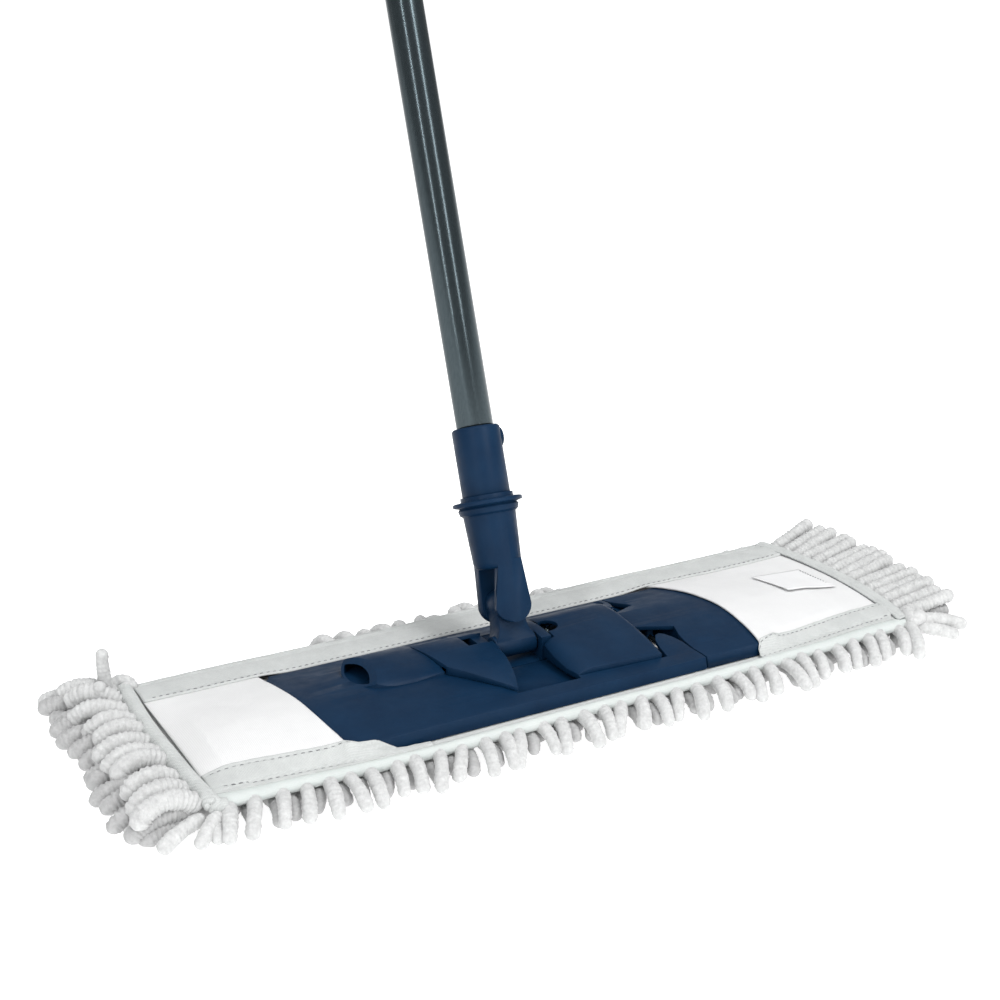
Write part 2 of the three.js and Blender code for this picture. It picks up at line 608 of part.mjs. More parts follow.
function lockCollet() {
  const body = turned([
    [TUBE_RADIUS + GAP, 682], [13.2, 682], [13.2, 704], [12.4, 706], [11.6, 724], [9.8, 724],
    [9.8, LOWER_TUBE_TOP + GAP], [TUBE_RADIUS + GAP, LOWER_TUBE_TOP + GAP], [TUBE_RADIUS + GAP, 682],
  ], 32);
  const slots = [0, 45, 90, 135].map((angle) =>
    box([-16, 16], [-0.7, 0.7], [707, 730]).rotate([0, 0, angle]));
  return cut(body, ...slots);
}

function lockNut() {
  const body = turned([
    [13.6, 686], [16.2, 686], [16.8, 688], [16.8, 718], [15.4, 728], [12.8, 732], [10.2, 732], [10.2, 727],
    [12.6, 725], [13.6, 706], [13.6, 686],
  ], 36);
  const flutes = Array.from({ length: 12 }, (_, i) => {
    const angle = (i * Math.PI) / 6;
    const [x, y] = [18.2 * Math.cos(angle), 18.2 * Math.sin(angle)];
    return rod(2.4, [x, y, 690], [x, y, 717], 12);
  });
  return cut(body, ...flutes);
}

function upperTube() {
  return tube(UPPER_TUBE_RADIUS, UPPER_TUBE_WALL, UPPER_TUBE_LOW, UPPER_TUBE_TOP);
}

function tubeBush() {
  return turned([[0, 168], [9.8, 168], [9.8, 179.6], [8.4, 179.6], [8.4, 194], [0, 194]], 28);
}

function handGrip() {
  const inner = UPPER_TUBE_RADIUS + GAP;
  return turned([
    [inner, GRIP_LOW], [12.6, GRIP_LOW], [13.8, 752], [14.2, 770], [13.4, 810], [14.4, 850], [14.2, 864],
    [13.4, 867], [inner, 867], [inner, GRIP_LOW],
  ], 28);
}

function endCap() {
  const cap = turned([
    [0, 846], [8.4, 846], [8.4, 868.4], [14, 868.4], [14.2, 872], [12.6, 880], [8, 885], [0, 886],
  ], 28);
  const eye = join(rod(11, [0, -3, 895], [0, 3, 895], 28), box([-8, 8], [-3, 3], [880, 893]));
  return cut(join(cap, eye), rod(5.6, [0, -8, 896.5], [0, 8, 896.5], 20));
}

// ---- pad -------------------------------------------------------------------------------------------------

// The pad is parted under the fold, in a wedge wide enough for the wing to fold down.
function foldReach(z) {
  return (FOLD_Z - z) * Math.tan(FOLD_HALF_ANGLE) + GAP;
}

function slab(side, low, high, end = PAD_HALF_LENGTH) {
  const from = side * end;
  const outline = [
    [from, low], [FOLD_X + side * foldReach(low), low], [FOLD_X + side * foldReach(high), high], [from, high],
  ];
  return prismY(outline, -PAD_HALF_DEPTH, PAD_HALF_DEPTH);
}

const edgeSign = { front: -1, back: 1 };
const mainSpan = (low, end) => [-end, FOLD_X - foldReach(low)];
const wingSpan = (low, end) => [FOLD_X + foldReach(low), end];

function longBinding(edge, span) {
  const sign = edgeSign[edge];
  const rim = PAD_HALF_DEPTH + BINDING_WRAP;
  const outline = [
    [rim, BACKING_LOW], [PAD_HALF_DEPTH + 0.4, BACKING_LOW], [PAD_HALF_DEPTH + 0.4, BACKING_TOP + GAP],
    [PAD_HALF_DEPTH - BINDING_WIDTH, BACKING_TOP + GAP], [PAD_HALF_DEPTH - BINDING_WIDTH, BINDING_TOP],
    [rim - 1.6, BINDING_TOP], [rim, BINDING_TOP - 1.6],
  ];
  return prismX(outline.map(([y, z]) => [sign * y, z]), ...span);
}

function endBinding(side) {
  const rim = PAD_HALF_LENGTH + BINDING_WRAP;
  const outline = [
    [rim, BACKING_LOW], [PAD_HALF_LENGTH + 0.4, BACKING_LOW], [PAD_HALF_LENGTH + 0.4, BACKING_TOP + GAP],
    [PAD_HALF_LENGTH - END_BINDING_WIDTH, BACKING_TOP + GAP],
    [PAD_HALF_LENGTH - END_BINDING_WIDTH, BINDING_TOP], [rim - 1.6, BINDING_TOP], [rim, BINDING_TOP - 1.6],
  ];
  const half = PAD_HALF_DEPTH + BINDING_WRAP;
  return prismY(outline.map(([x, z]) => [side * x, z]), -half, half);
}

function longFringe(edge, span) {
  const inner = PAD_HALF_DEPTH + 0.5;
  const under = PAD_HALF_DEPTH + BINDING_WRAP + 0.4;
  const rim = PAD_HALF_DEPTH + FRINGE_REACH;
  const outline = [
    [inner, 0], [rim - 4, 0], [rim, 3], [rim - 4, 9], [rim - 13, 13.4], [under, 14.4], [under, BACKING_LOW - 0.4],
    [inner, BACKING_LOW - 0.4],
  ];
  return prismX(outline.map(([y, z]) => [edgeSign[edge] * y, z]), ...span);
}

// The end fringes splay: the left one droops to the floor and the right one stands up from it.
function endFringe(side) {
  const inner = PAD_HALF_LENGTH + BINDING_WRAP + 0.4;
  const rim = PAD_HALF_LENGTH + END_FRINGE_REACH;
  const drooping = [
    [inner, 0], [rim - 16, 0], [rim, 0], [rim + 3, 6], [rim - 10, 17], [rim - 28, 22], [inner, 19],
  ];
  const standing = [
    [inner, 0], [rim - 20, 0], [rim, 4], [rim - 1, 36], [rim - 12, 42], [rim - 28, 32], [inner, 20],
  ];
  const outline = side < 0 ? drooping : standing;
  return prismY(outline.map(([x, z]) => [side * x, z]), -PAD_HALF_DEPTH - 3, PAD_HALF_DEPTH + 3);
}

const POCKET_FOOT = BINDING_TOP + GAP;
const POCKET_END = PAD_HALF_LENGTH - END_BINDING_WIDTH - 0.4;

// The plate's end grown by some distance, from the pocket's mouth to a little past the plate's tip.
function coverOf(side, grow, mouthExtra = 0) {
  const mouth = side < 0 ? LEFT_POCKET_MOUTH : RIGHT_POCKET_MOUTH;
  const tip = side < 0 ? PLATE_LEFT : PLATE_RIGHT;
  const [from, to] = [mouth - side * mouthExtra, tip + side * grow].sort((a, b) => a - b);
  return plateSolid(from, to, grow);
}

function pocketSpan(side) {
  const mouth = side < 0 ? LEFT_POCKET_MOUTH : RIGHT_POCKET_MOUTH;
  return [mouth, side * POCKET_END].sort((a, b) => a - b);
}

// A pocket is a cloth cover over the plate's end with flat margins sewn down on the pad's bindings.
function pocket(side) {
  const depth = [-POCKET_HALF_DEPTH, POCKET_HALF_DEPTH];
  const margins = box(pocketSpan(side), depth, [POCKET_FOOT, POCKET_FOOT + POCKET_THICKNESS]);
  const outer = coverOf(side, POCKET_THICKNESS + 0.5);
  const inner = coverOf(side, 0.5, 10);
  const floor = box([-300, 300], [-90, 90], [-10, POCKET_FOOT]);
  return cut(join(outer, margins), inner, floor);
}

// The label lies over the plate's tip and slopes down to the end of the pocket.
function careLabel() {
  const under = [[174, 28.2], [183, 27.5], [192.4, 26.6], [213, 19.9]];
  const over = under.map(([x, z]) => [x, z + 0.6]).reverse();
  return prismY([...under, ...over], -20, 18);
}

// ---- materials -------------------------------------------------------------------------------------------

const material = (color, roughness, metalness = 0) =>
  new THREE.MeshStandardMaterial({ color, roughness, metalness });
const NAVY = material(0x1c3558, 0.45);
const POLE = material(0x4c5656, 0.35, 0.8);
const STEEL = material(0xb8bcc0, 0.3, 1);
const RUBBER = material(0x2b3036, 0.8);
const CHENILLE = material(0xc4c6c6, 0.95);
const BINDING = material(0xcfd1d1, 0.9);
const WHITE_CLOTH = material(0xe9e9e9, 0.9);

// ---- assembly --------------------------------------------------------------------------------------------

function named(name, solid, finish) {
  const mesh = new THREE.Mesh(geometryOf(solid), finish);
  mesh.name = name;
  return mesh;
}

function frameGroup() {
  const group = new THREE.Group();
  group.add(
    named("main_plate", mainPlate(), NAVY),
    named("right_wing", rightWing(), NAVY),
    named("wing_hinge_pin", wingHingePin(), STEEL),
    named("joint_saddle", jointSaddle(), NAVY),
    named("foot_pedal", footPedal(), NAVY),
    named("pedal_axle", pedalAxle(), STEEL),
    named("pedal_spring", pedalSpring(), STEEL),
    named("latch_bolt", latchBolt(), NAVY),
    named("latch_spring", latchSpring(), STEEL),
    named("swing_axle", swingAxle(), STEEL),
  );
  SCREWS.forEach((at, i) => group.add(named(`saddle_screw_${i + 1}`, saddleScrew(at), STEEL)));
  return group;
}

function poleGroup() {
  const group = new THREE.Group();
  group.position.set(0, 0, JOINT_LINK);
  group.rotation.y = SIDE_LEAN;
  group.add(
    named("handle_socket", handleSocket(), NAVY),
    named("tilt_pin", tiltPin(), STEEL),
    named("pole_sleeve", poleSleeve(), NAVY),
    named("snap_button", snapButton(), NAVY),
    named("button_clip", buttonClip(), STEEL),
    named("lower_tube", lowerTube(), POLE),
    named("lock_collet", lockCollet(), NAVY),
    named("lock_nut", lockNut(), NAVY),
    named("upper_tube", upperTube(), POLE),
    named("tube_bush", tubeBush(), NAVY),
    named("hand_grip", handGrip(), RUBBER),
    named("end_cap", endCap(), NAVY),
  );
  return group;
}

function handleGroup() {
  const group = new THREE.Group();
  group.position.set(JOINT_X, JOINT_Y, JOINT_Z);
  group.rotation.x = -LEAN;
  group.add(named("knuckle", knuckle(), NAVY), poleGroup());
  return group;
}

function padGroup() {
  const group = new THREE.Group();
  const bindingEnd = PAD_HALF_LENGTH - END_BINDING_WIDTH - 0.4;
  const fringeEnd = PAD_HALF_LENGTH - 4;
  const halves = [["main", -1, mainSpan], ["wing", 1, wingSpan]];
  for (const [half, side, span] of halves) {
    group.add(
      named(`pad_pile_${half}`, slab(side, 0, PILE_TOP), CHENILLE),
      named(`pad_backing_${half}`, slab(side, BACKING_LOW, BACKING_TOP), WHITE_CLOTH),
    );
    for (const edge of ["front", "back"]) {
      group.add(
        named(`${edge}_binding_${half}`, longBinding(edge, span(BACKING_LOW, bindingEnd)), BINDING),
        named(`${edge}_fringe_${half}`, longFringe(edge, span(0, fringeEnd)), CHENILLE),
      );
    }
  }
  for (const [end, side] of [["left", -1], ["right", 1]]) {
    group.add(
      named(`${end}_pocket`, pocket(side), WHITE_CLOTH),
      named(`${end}_end_binding`, endBinding(side), BINDING),
      named(`${end}_fringe`, endFringe(side), CHENILLE),
    );
  }
  group.add(named("care_label", careLabel(), WHITE_CLOTH));
  return group;
}

const mop = new THREE.Group();
mop.add(frameGroup(), handleGroup(), padGroup());

export default mop;
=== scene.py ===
"""Looks for the flat mop: a chenille pad with two pockets, a folding plastic plate and a metal pole.

Everything is in metres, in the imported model's frame: +X along the pad towards the folding wing, +Z up.
A side is -1 for the left pocket, on the fixed plate, and 1 for the right pocket, on the wing.
"""

import json
import math
import random

import bpy
import numpy as np
from mathutils import Matrix, Vector, noise
from mathutils.bvhtree import BVHTree


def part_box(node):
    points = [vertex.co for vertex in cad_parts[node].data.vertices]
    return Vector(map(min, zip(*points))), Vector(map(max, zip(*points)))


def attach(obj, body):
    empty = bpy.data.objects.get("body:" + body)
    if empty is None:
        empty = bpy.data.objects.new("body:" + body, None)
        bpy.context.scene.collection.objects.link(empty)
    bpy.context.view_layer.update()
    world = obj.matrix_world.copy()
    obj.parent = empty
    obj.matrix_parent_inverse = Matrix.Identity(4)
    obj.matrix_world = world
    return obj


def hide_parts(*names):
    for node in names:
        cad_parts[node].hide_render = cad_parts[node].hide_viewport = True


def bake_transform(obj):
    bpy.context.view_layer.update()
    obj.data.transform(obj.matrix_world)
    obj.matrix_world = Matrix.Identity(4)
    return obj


MM = 0.001
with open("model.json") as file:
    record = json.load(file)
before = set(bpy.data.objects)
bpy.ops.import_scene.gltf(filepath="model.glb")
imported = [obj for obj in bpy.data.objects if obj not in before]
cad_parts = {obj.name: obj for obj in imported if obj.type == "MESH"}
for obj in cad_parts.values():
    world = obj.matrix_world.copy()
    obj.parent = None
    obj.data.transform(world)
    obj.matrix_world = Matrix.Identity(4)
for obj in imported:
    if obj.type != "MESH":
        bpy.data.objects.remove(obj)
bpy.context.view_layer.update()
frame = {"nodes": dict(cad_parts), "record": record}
NODES = frame["nodes"]

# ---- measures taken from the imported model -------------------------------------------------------

PILE_LOW, PILE_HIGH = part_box("pad_pile_main")
LEFT, RIGHT = PILE_LOW.x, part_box("pad_pile_wing")[1].x
FRONT, BACK = PILE_LOW.y, PILE_HIGH.y
HALF_DEPTH = BACK
PILE_TOP = PILE_HIGH.z
BACKING_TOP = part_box("pad_backing_main")[1].z
BIND_LOW, BIND_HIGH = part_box("front_binding_main")
BIND_RIM = -BIND_LOW.y
BIND_TOP = BIND_HIGH.z
END_RIM = -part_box("left_end_binding")[0].x
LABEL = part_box("care_label")

# ---- driving dimensions of the soft pieces ------------------------------------------------------

CLOTH = 1.0 * MM  # thickness of the pocket cloth
BAND = 1.3 * MM  # full thickness of a stitched band
LAP = 0.3 * MM  # clearance under a piece that lies on another
POCKET_END = END_RIM - 7 * MM
POCKET_HALF = HALF_DEPTH - 1.5 * MM
MOUTH_FRONT = -0.060  # where a pocket's mouth meets its front band
RUN_OUT = {-1: 46 * MM, 1: 3 * MM}  # how far a front band runs past its pocket's mouth
INNER_SEAM, OUTER_SEAM = 0.17, 0.80  # stitch rows of a front band, as shares of its width
BACK_INNER = 47.5 * MM
BAND_BACK = POCKET_HALF + 1.2 * MM
ROLL_RADIUS = 3.4 * MM
ROLL_TUCK = 1.5 * MM  # how far the roll covers the front band
EDGE_STRAND = 3.9 * MM  # radius of the strands along the long edges
EDGE_PITCH = 2.6 * MM  # spacing of the rings on those strands
END_PITCH = 2.5 * MM  # the same on the strands of the two ends
CORNER_PITCH = 2.4 * MM  # the same on the single strands of the corners

# ---- camera and hard parts ----------------------------------------------------------------------

CAMERA_PLACE = (-0.4450, -0.7788, 0.4370)
CAMERA_AZIMUTH, CAMERA_ELEVATION, CAMERA_ROLL = -118.534, 19.825, -0.462  # degrees
CAMERA_LENS = 59.58  # focal length in millimetres, for a sensor 36 mm wide
EDGE_BEVEL = 0.7 * MM
WELD_REACH = 0.02 * MM
# Steel parts deep inside the plate take the dark pole metal instead of steel: painted shade.
STEEL_IN_PAINTED_SHADE = ("pedal_spring", "latch_spring", "wing_hinge_pin")  # steel deep inside the plate


# ---- node helpers -------------------------------------------------------------------------------


def new_material(name):
    material = bpy.data.materials.new(name)
    material.use_nodes = True
    tree = material.node_tree
    shader = tree.nodes["Principled BSDF"]
    return material, tree, shader


def add(tree, kind, **values):
    """A new node with its inputs set; a name that starts with _ sets a property instead."""
    node = tree.nodes.new(kind)
    for key, value in values.items():
        if key.startswith("_"):
            setattr(node, key[1:], value)
        else:
            node.inputs[key.replace("_", " ")].default_value = value
    return node


def noise_at(tree, scale, detail, roughness=0.55, coords=None):
    node = add(tree, "ShaderNodeTexNoise", Scale=scale, Detail=detail, Roughness=roughness)
    source = coords or object_coords(tree)
    tree.links.new(source, node.inputs["Vector"])
    return node.outputs["Fac"]


def object_coords(tree):
    """Object coordinates, from one shared node in each material."""
    for node in tree.nodes:
        if node.bl_idname == "ShaderNodeTexCoord":
            return node.outputs["Object"]
    return tree.nodes.new("ShaderNodeTexCoord").outputs["Object"]


def stretched(tree, scale):
    """Object coordinates scaled on each axis by itself, for marks that run along one axis."""
    mapping = add(tree, "ShaderNodeMapping")
    mapping.inputs["Scale"].default_value = scale
    tree.links.new(object_coords(tree), mapping.inputs["Vector"])
    return mapping.outputs["Vector"]


def drive(tree, shader, socket, texture, low, high):
    """Lets a texture set a shader's input; low and high are each a texture value and what it gives."""
    node = tree.nodes.new("ShaderNodeValToRGB")
    for element, (position, value) in zip(node.color_ramp.elements, (low, high)):
        element.position = position
        element.color = (*value, 1) if isinstance(value, tuple) else (value, value, value, 1)
    tree.links.new(texture, node.inputs["Fac"])
    tree.links.new(node.outputs["Color"], shader.inputs[socket])


def combine(tree, operation, a, b):
    """Adds or multiplies two textures, or a texture and a number."""
    node = add(tree, "ShaderNodeMath", _operation=operation)
    for socket, value in zip(node.inputs, (a, b)):
        if isinstance(value, (int, float)):
            socket.default_value = value
        else:
            tree.links.new(value, socket)
    return node.outputs["Value"]


def bump(tree, shader, height, strength, distance, normal=None):
    """Bump from a texture on the shader, on top of an earlier bump's normal if one is given."""
    node = add(tree, "ShaderNodeBump", Strength=strength, Distance=distance)
    tree.links.new(height, node.inputs["Height"])
    if normal is not None:
        tree.links.new(normal, node.inputs["Normal"])
    tree.links.new(node.outputs["Normal"], shader.inputs["Normal"])
    return node.outputs["Normal"]


def wave(tree, scale, direction, distortion):
    node = add(tree, "ShaderNodeTexWave", _bands_direction=direction, Scale=scale, Distortion=distortion)
    tree.links.new(object_coords(tree), node.inputs["Vector"])
    return node.outputs["Fac"]


# ---- materials ----------------------------------------------------------------------------------


def navy_plastic():
    material, tree, shader = new_material("navy_plastic")
    dark, light = (0.0020, 0.0170, 0.0470), (0.0032, 0.0225, 0.0590)
    drive(tree, shader, "Base Color", noise_at(tree, 45, 4), (0.32, dark), (0.68, light))
    drive(tree, shader, "Roughness", noise_at(tree, 130, 5), (0.3, 0.40), (0.7, 0.54))
    grain = bump(tree, shader, noise_at(tree, 2600, 2), 0.10, 0.0002)
    bump(tree, shader, noise_at(tree, 55, 3), 0.10, 0.0006, grain)
    shader.inputs["Specular IOR Level"].default_value = 0.14
    return material


def dark_metal():
    material, tree, shader = new_material("pole_metal")
    lengthwise = noise_at(tree, 1.0, 4, coords=stretched(tree, (1400, 1400, 16)))
    dark, light = (0.044, 0.058, 0.064), (0.060, 0.077, 0.085)
    drive(tree, shader, "Base Color", lengthwise, (0.3, dark), (0.7, light))
    drive(tree, shader, "Roughness", lengthwise, (0.3, 0.20), (0.7, 0.22))
    shader.inputs["Metallic"].default_value = 0.9
    return material


def bright_steel():
    material, tree, shader = new_material("steel")
    marks = noise_at(tree, 1.0, 3, coords=stretched(tree, (220, 2600, 2600)))
    drive(tree, shader, "Base Color", marks, (0.3, 0.46), (0.7, 0.62))
    drive(tree, shader, "Roughness", marks, (0.3, 0.26), (0.7, 0.40))
    shader.inputs["Metallic"].default_value = 1.0
    return material


def grip_rubber():
    material, tree, shader = new_material("grip_rubber")
    dark, light = (0.016, 0.019, 0.024), (0.032, 0.036, 0.044)
    drive(tree, shader, "Base Color", noise_at(tree, 60, 4), (0.3, dark), (0.75, light))
    shader.inputs["Roughness"].default_value = 0.72
    bump(tree, shader, noise_at(tree, 1500, 2), 0.25, 0.0003)
    return material


def fabric(name, dark, light, weave, weave_strength, sheen, blotch_scale=90):
    """Cloth whose threads show in bump and in colour; weave gives the height of the threads."""
    material, tree, shader = new_material(name)
    threads = weave(tree)
    fibres = noise_at(tree, 3200, 2)
    blotch = noise_at(tree, blotch_scale, 4)
    most = combine(tree, "MULTIPLY", threads, 0.55)
    rest = combine(tree, "MULTIPLY", blotch, 0.45)
    drive(tree, shader, "Base Color", combine(tree, "ADD", most, rest), (0.2, dark), (0.7, light))
    first = bump(tree, shader, threads, weave_strength, 0.0004)
    bump(tree, shader, fibres, 0.25, 0.0003, first)
    shader.inputs["Roughness"].default_value = 0.92
    shader.inputs["Specular IOR Level"].default_value = 0.2
    shader.inputs["Sheen Weight"].default_value = sheen
    shader.inputs["Sheen Roughness"].default_value = 0.5
    return material


def plain_weave(tree):
    """Threads that cross at right angles."""
    across = wave(tree, 330, "X", 0.6)
    along = wave(tree, 330, "Y", 0.6)
    return combine(tree, "MULTIPLY", across, along)


def tape_weave(tree):
    """A close tape: fine ribs in both directions, broken up by loose fibres."""
    ribs = wave(tree, 420, "X", 3.0)
    along = wave(tree, 460, "Y", 3.0)
    loose = noise_at(tree, 700, 3, 0.7)
    weave = combine(tree, "MULTIPLY", combine(tree, "MULTIPLY", ribs, along), 0.6)
    return combine(tree, "ADD", weave, combine(tree, "MULTIPLY", loose, 0.6))


def chenille_weave(tree):
    """Loose tufts with fine fibres on them."""
    tufts = combine(tree, "MULTIPLY", noise_at(tree, 620, 3, 0.7), 0.65)
    fibres = combine(tree, "MULTIPLY", noise_at(tree, 2300, 2, 0.6), 0.35)
    return combine(tree, "ADD", tufts, fibres)


NAVY = navy_plastic()
POLE = dark_metal()
STEEL = bright_steel()
RUBBER = grip_rubber()
WHITE_CLOTH = fabric("white_cloth", (0.70, 0.70, 0.70), (0.80, 0.80, 0.80), plain_weave, 0.22, 0.05, 60)
BINDING = fabric("binding_cloth", (0.44, 0.455, 0.45), (0.62, 0.635, 0.625), tape_weave, 0.5, 0.1)
ROLL = fabric("binding_roll", (0.54, 0.575, 0.56), (0.63, 0.665, 0.65), tape_weave, 0.25, 0.15)
CHENILLE = fabric("chenille", (0.36, 0.36, 0.36), (0.70, 0.705, 0.70), chenille_weave, 1.0, 0.25, 300)
# A darker copy of the chenille: painted shade for strands that lie under or behind others, and for the
# pile under the pad.
CHENILLE_PAINTED_SHADE = fabric("chenille_painted_shade", (0.27, 0.27, 0.27), (0.53, 0.53, 0.53), chenille_weave, 1.0,
                       0.2, 300)
THREAD = fabric("thread", (0.17, 0.175, 0.18), (0.27, 0.275, 0.28), plain_weave, 0.3, 0.05)
LABEL_CLOTH = fabric("label_cloth", (0.76, 0.76, 0.765), (0.84, 0.84, 0.84), plain_weave, 0.15, 0.05)


# ---- mesh helpers -------------------------------------------------------------------------------


def piece(name, vertices, faces, material, smooth=True):
    """A new object from points and faces; material is one material or a list of them."""
    mesh = bpy.data.meshes.new(name)
    mesh.from_pydata([tuple(v) for v in vertices], [], faces)
    mesh.validate()
    mesh.update()
    mesh.polygons.foreach_set("use_smooth", [smooth] * len(mesh.polygons))
    for one in material if isinstance(material, (list, tuple)) else [material]:
        mesh.materials.append(one)
    obj = bpy.data.objects.new(name, mesh)
    bpy.context.scene.collection.objects.link(obj)
    return obj


def grid_faces(rows, columns, close_columns=False, offset=0):
    """Four-sided faces of a grid of points; offset is the number of its first point."""
    faces = []
    for i in range(rows - 1):
        for j in range(columns if close_columns else columns - 1):
            a = offset + i * columns + j
            b = offset + i * columns + (j + 1) % columns
            faces.append((a, b, b + columns, a + columns))
    return faces


def bezier(points, steps):
    """A smooth curve through control points, as an array of points."""
    points = np.asarray(points, float)
    t = np.linspace(0, 1, steps)[:, None]
    level = [np.repeat(p[None, :], steps, 0) for p in points]
    while len(level) > 1:
        level = [a * (1 - t) + b * t for a, b in zip(level, level[1:])]
    return level[0]


def tube_rings(path, radii, sides):
    """Rings of points round a path; the rings don't twist along it."""
    path = np.asarray(path, float)
    tangents = np.gradient(path, axis=0)
    tangents /= np.linalg.norm(tangents, axis=1)[:, None]
    side = np.cross(tangents[0], (0, 0, 1))
    if np.linalg.norm(side) < 1e-3:
        side = np.cross(tangents[0], (1, 0, 0))
    side /= np.linalg.norm(side)
    angles = np.linspace(0, 2 * math.pi, sides, endpoint=False)
    rings = []
    for point, tangent, radius in zip(path, tangents, radii):
        side = side - tangent * (side @ tangent)
        side /= np.linalg.norm(side)
        rise = np.cross(side, tangent)
        rings.append(point + radius * (np.cos(angles)[:, None] * side + np.sin(angles)[:, None] * rise))
    return np.array(rings)


class Strands:
    """Many closed strands gathered into one mesh."""

    def __init__(self):
        self.vertices = []
        self.faces = []
        self.indices = []

    def tube(self, path, radii, sides):
        self.rings(tube_rings(path, radii, sides), 0)

    def rings(self, rings, material):
        """Adds a strand from its rings, closed at both ends; material is its number in the list."""
        sides = rings.shape[1]
        offset = len(self.vertices)
        self.vertices.extend(rings.reshape(-1, 3).tolist())
        count = len(rings)
        made = grid_faces(count, sides, close_columns=True, offset=offset)
        made.append(tuple(offset + j for j in range(sides))[::-1])
        made.append(tuple(offset + (count - 1) * sides + j for j in range(sides)))
        self.faces.extend(made)
        self.indices.extend([material] * len(made))

    def build(self, name, materials, slot):
        obj = piece(name, self.vertices, self.faces, materials)
        obj.data.polygons.foreach_set("material_index", self.indices)
        return obj


def rounded_ends(steps, length, radius):
    """Shares of a strand's length and the radius at each: a slightly narrowed root and a domed tip."""
    root = 0.75
    dome = radius / length
    body = np.linspace(0, 1 - dome, steps)
    tip = 1 - dome + dome * np.sin(np.linspace(0, math.pi / 2, 6))[1:]
    shares = np.concatenate([body, tip])
    over = np.clip((shares - (1 - dome)) / dome, 0, 0.995)
    radii = radius * np.sqrt(1 - over ** 2)
    radii *= root + (1 - root) * np.clip(shares / 0.12, 0, 1) ** 0.5
    return shares, radii


def noodle(strands, controls, radius, rng, rib, pitch, sides=12, material=0, fuzz=0.09):
    """One chenille strand along control points.

    Rib is the depth of its rings and fuzz the unevenness of its surface, both as shares of the radius.
    """
    fine = bezier(controls, 60)
    lengths = np.concatenate([[0], np.cumsum(np.linalg.norm(np.diff(fine, axis=0), axis=1))])
    length = lengths[-1]
    steps = max(10, int(length / pitch * 4))
    shares, radii = rounded_ends(steps, length, radius)
    path = np.stack([np.interp(shares * length, lengths, fine[:, k]) for k in range(3)], 1)
    phase = rng.uniform(0, 6.28)
    radii = radii * (1 + rib * np.cos(2 * math.pi * shares * length / pitch + phase))
    radii *= 1 + 0.05 * np.sin(shares * rng.uniform(5, 9) + phase)
    rings = tube_rings(path, radii, sides)
    seed = Vector((rng.uniform(0, 50), rng.uniform(0, 50), rng.uniform(0, 50)))
    for i, ring in enumerate(rings):
        for j in range(sides):
            at = Vector(ring[j])
            swell = 1 + fuzz * noise.noise(at * 420 + seed) + 0.6 * fuzz * noise.noise(at * 1150 + seed)
            ring[j] = path[i] + (ring[j] - path[i]) * swell
    strands.rings(rings, material)


# ---- camera, lights and floor -------------------------------------------------------------------


def make_camera():
    data = bpy.data.cameras.new("camera")
    data.sensor_width = 36
    data.lens = CAMERA_LENS
    data.clip_start = 0.01
    data.clip_end = 60
    camera = bpy.data.objects.new("camera", data)
    turn = Matrix.Rotation(math.radians(CAMERA_AZIMUTH + 90), 4, "Z")
    tip = Matrix.Rotation(math.radians(90 - CAMERA_ELEVATION), 4, "X")
    roll = Matrix.Rotation(math.radians(CAMERA_ROLL), 4, "Z")
    camera.matrix_world = Matrix.Translation(CAMERA_PLACE) @ turn @ tip @ roll
    bpy.context.scene.collection.objects.link(camera)
    bpy.context.scene.camera = camera


def area_light(name, place, target, size, power, along=(0, 0, 1)):
    """A rectangular light facing its target, with its second side turned along a direction."""
    data = bpy.data.lights.new(name, "AREA")
    data.shape = "RECTANGLE"
    data.size, data.size_y = size
    data.energy = power
    light = bpy.data.objects.new(name, data)
    away = (Vector(place) - Vector(target)).normalized()
    side = Vector(along).cross(away).normalized()
    turn = Matrix((side, away.cross(side), away)).transposed().to_4x4()
    light.matrix_world = Matrix.Translation(place) @ turn
    bpy.context.scene.collection.objects.link(light)


def make_backdrop():
    """The backdrop is seen white but lights the scene at less than half strength."""
    world = bpy.data.worlds.new("studio")
    world.use_nodes = True
    tree = world.node_tree
    background = tree.nodes["Background"]
    background.inputs["Color"].default_value = (0.97, 0.985, 1.0, 1)
    seen = tree.nodes.new("ShaderNodeLightPath").outputs["Is Camera Ray"]
    strength = tree.nodes.new("ShaderNodeMapRange")
    strength.inputs["To Min"].default_value = 0.42
    strength.inputs["To Max"].default_value = 1.1
    tree.links.new(seen, strength.inputs["Value"])
    tree.links.new(strength.outputs["Result"], background.inputs["Strength"])
    bpy.context.scene.world = world


def make_lights():
    area_light("top", (0, 0, 2.2), (0, 0, 0.05), (2.2, 2.2), 16, (0, 1, 0))
    area_light("key", (0.5, -1.0, 1.7), (0.05, 0, 0.05), (0.9, 0.9), 9.5)
    # Two long strips stand parallel to the pole and draw its two lengthwise highlights.
    pole_axis = (0.026, 0.374, 0.927)
    pole_middle = (0, 0.1, 0.35)
    area_light("left_strip", (-1.59, -0.96, 1.43), pole_middle, (0.10, 3.0), 20, pole_axis)
    area_light("right_strip", (0.44, -1.62, 1.65), pole_middle, (0.24, 3.0), 26, pole_axis)


def floor_material():
    material, tree, shader = new_material("floor")
    drive(tree, shader, "Base Color", noise_at(tree, 3, 2), (0.3, 0.86), (0.7, 0.88))
    shader.inputs["Roughness"].default_value = 0.9
    shader.inputs["Specular IOR Level"].default_value = 0.1
    shader.inputs["Emission Color"].default_value = (1, 1, 1, 1)
    shader.inputs["Emission Strength"].default_value = 0.72
    return material


def make_floor():
    size = 40
    corners = [(-size, -size, 0), (size, -size, 0), (size, size, 0), (-size, size, 0)]
    floor = piece("floor", corners, [(0, 1, 2, 3)], floor_material(), smooth=False)
    floor.location.z = -0.0006


def make_stage():
    view = bpy.context.scene.view_settings
    view.view_transform = "Standard"
    view.look = "None"
    make_backdrop()
    make_lights()
    make_floor()


# ---- hard parts ---------------------------------------------------------------------------------


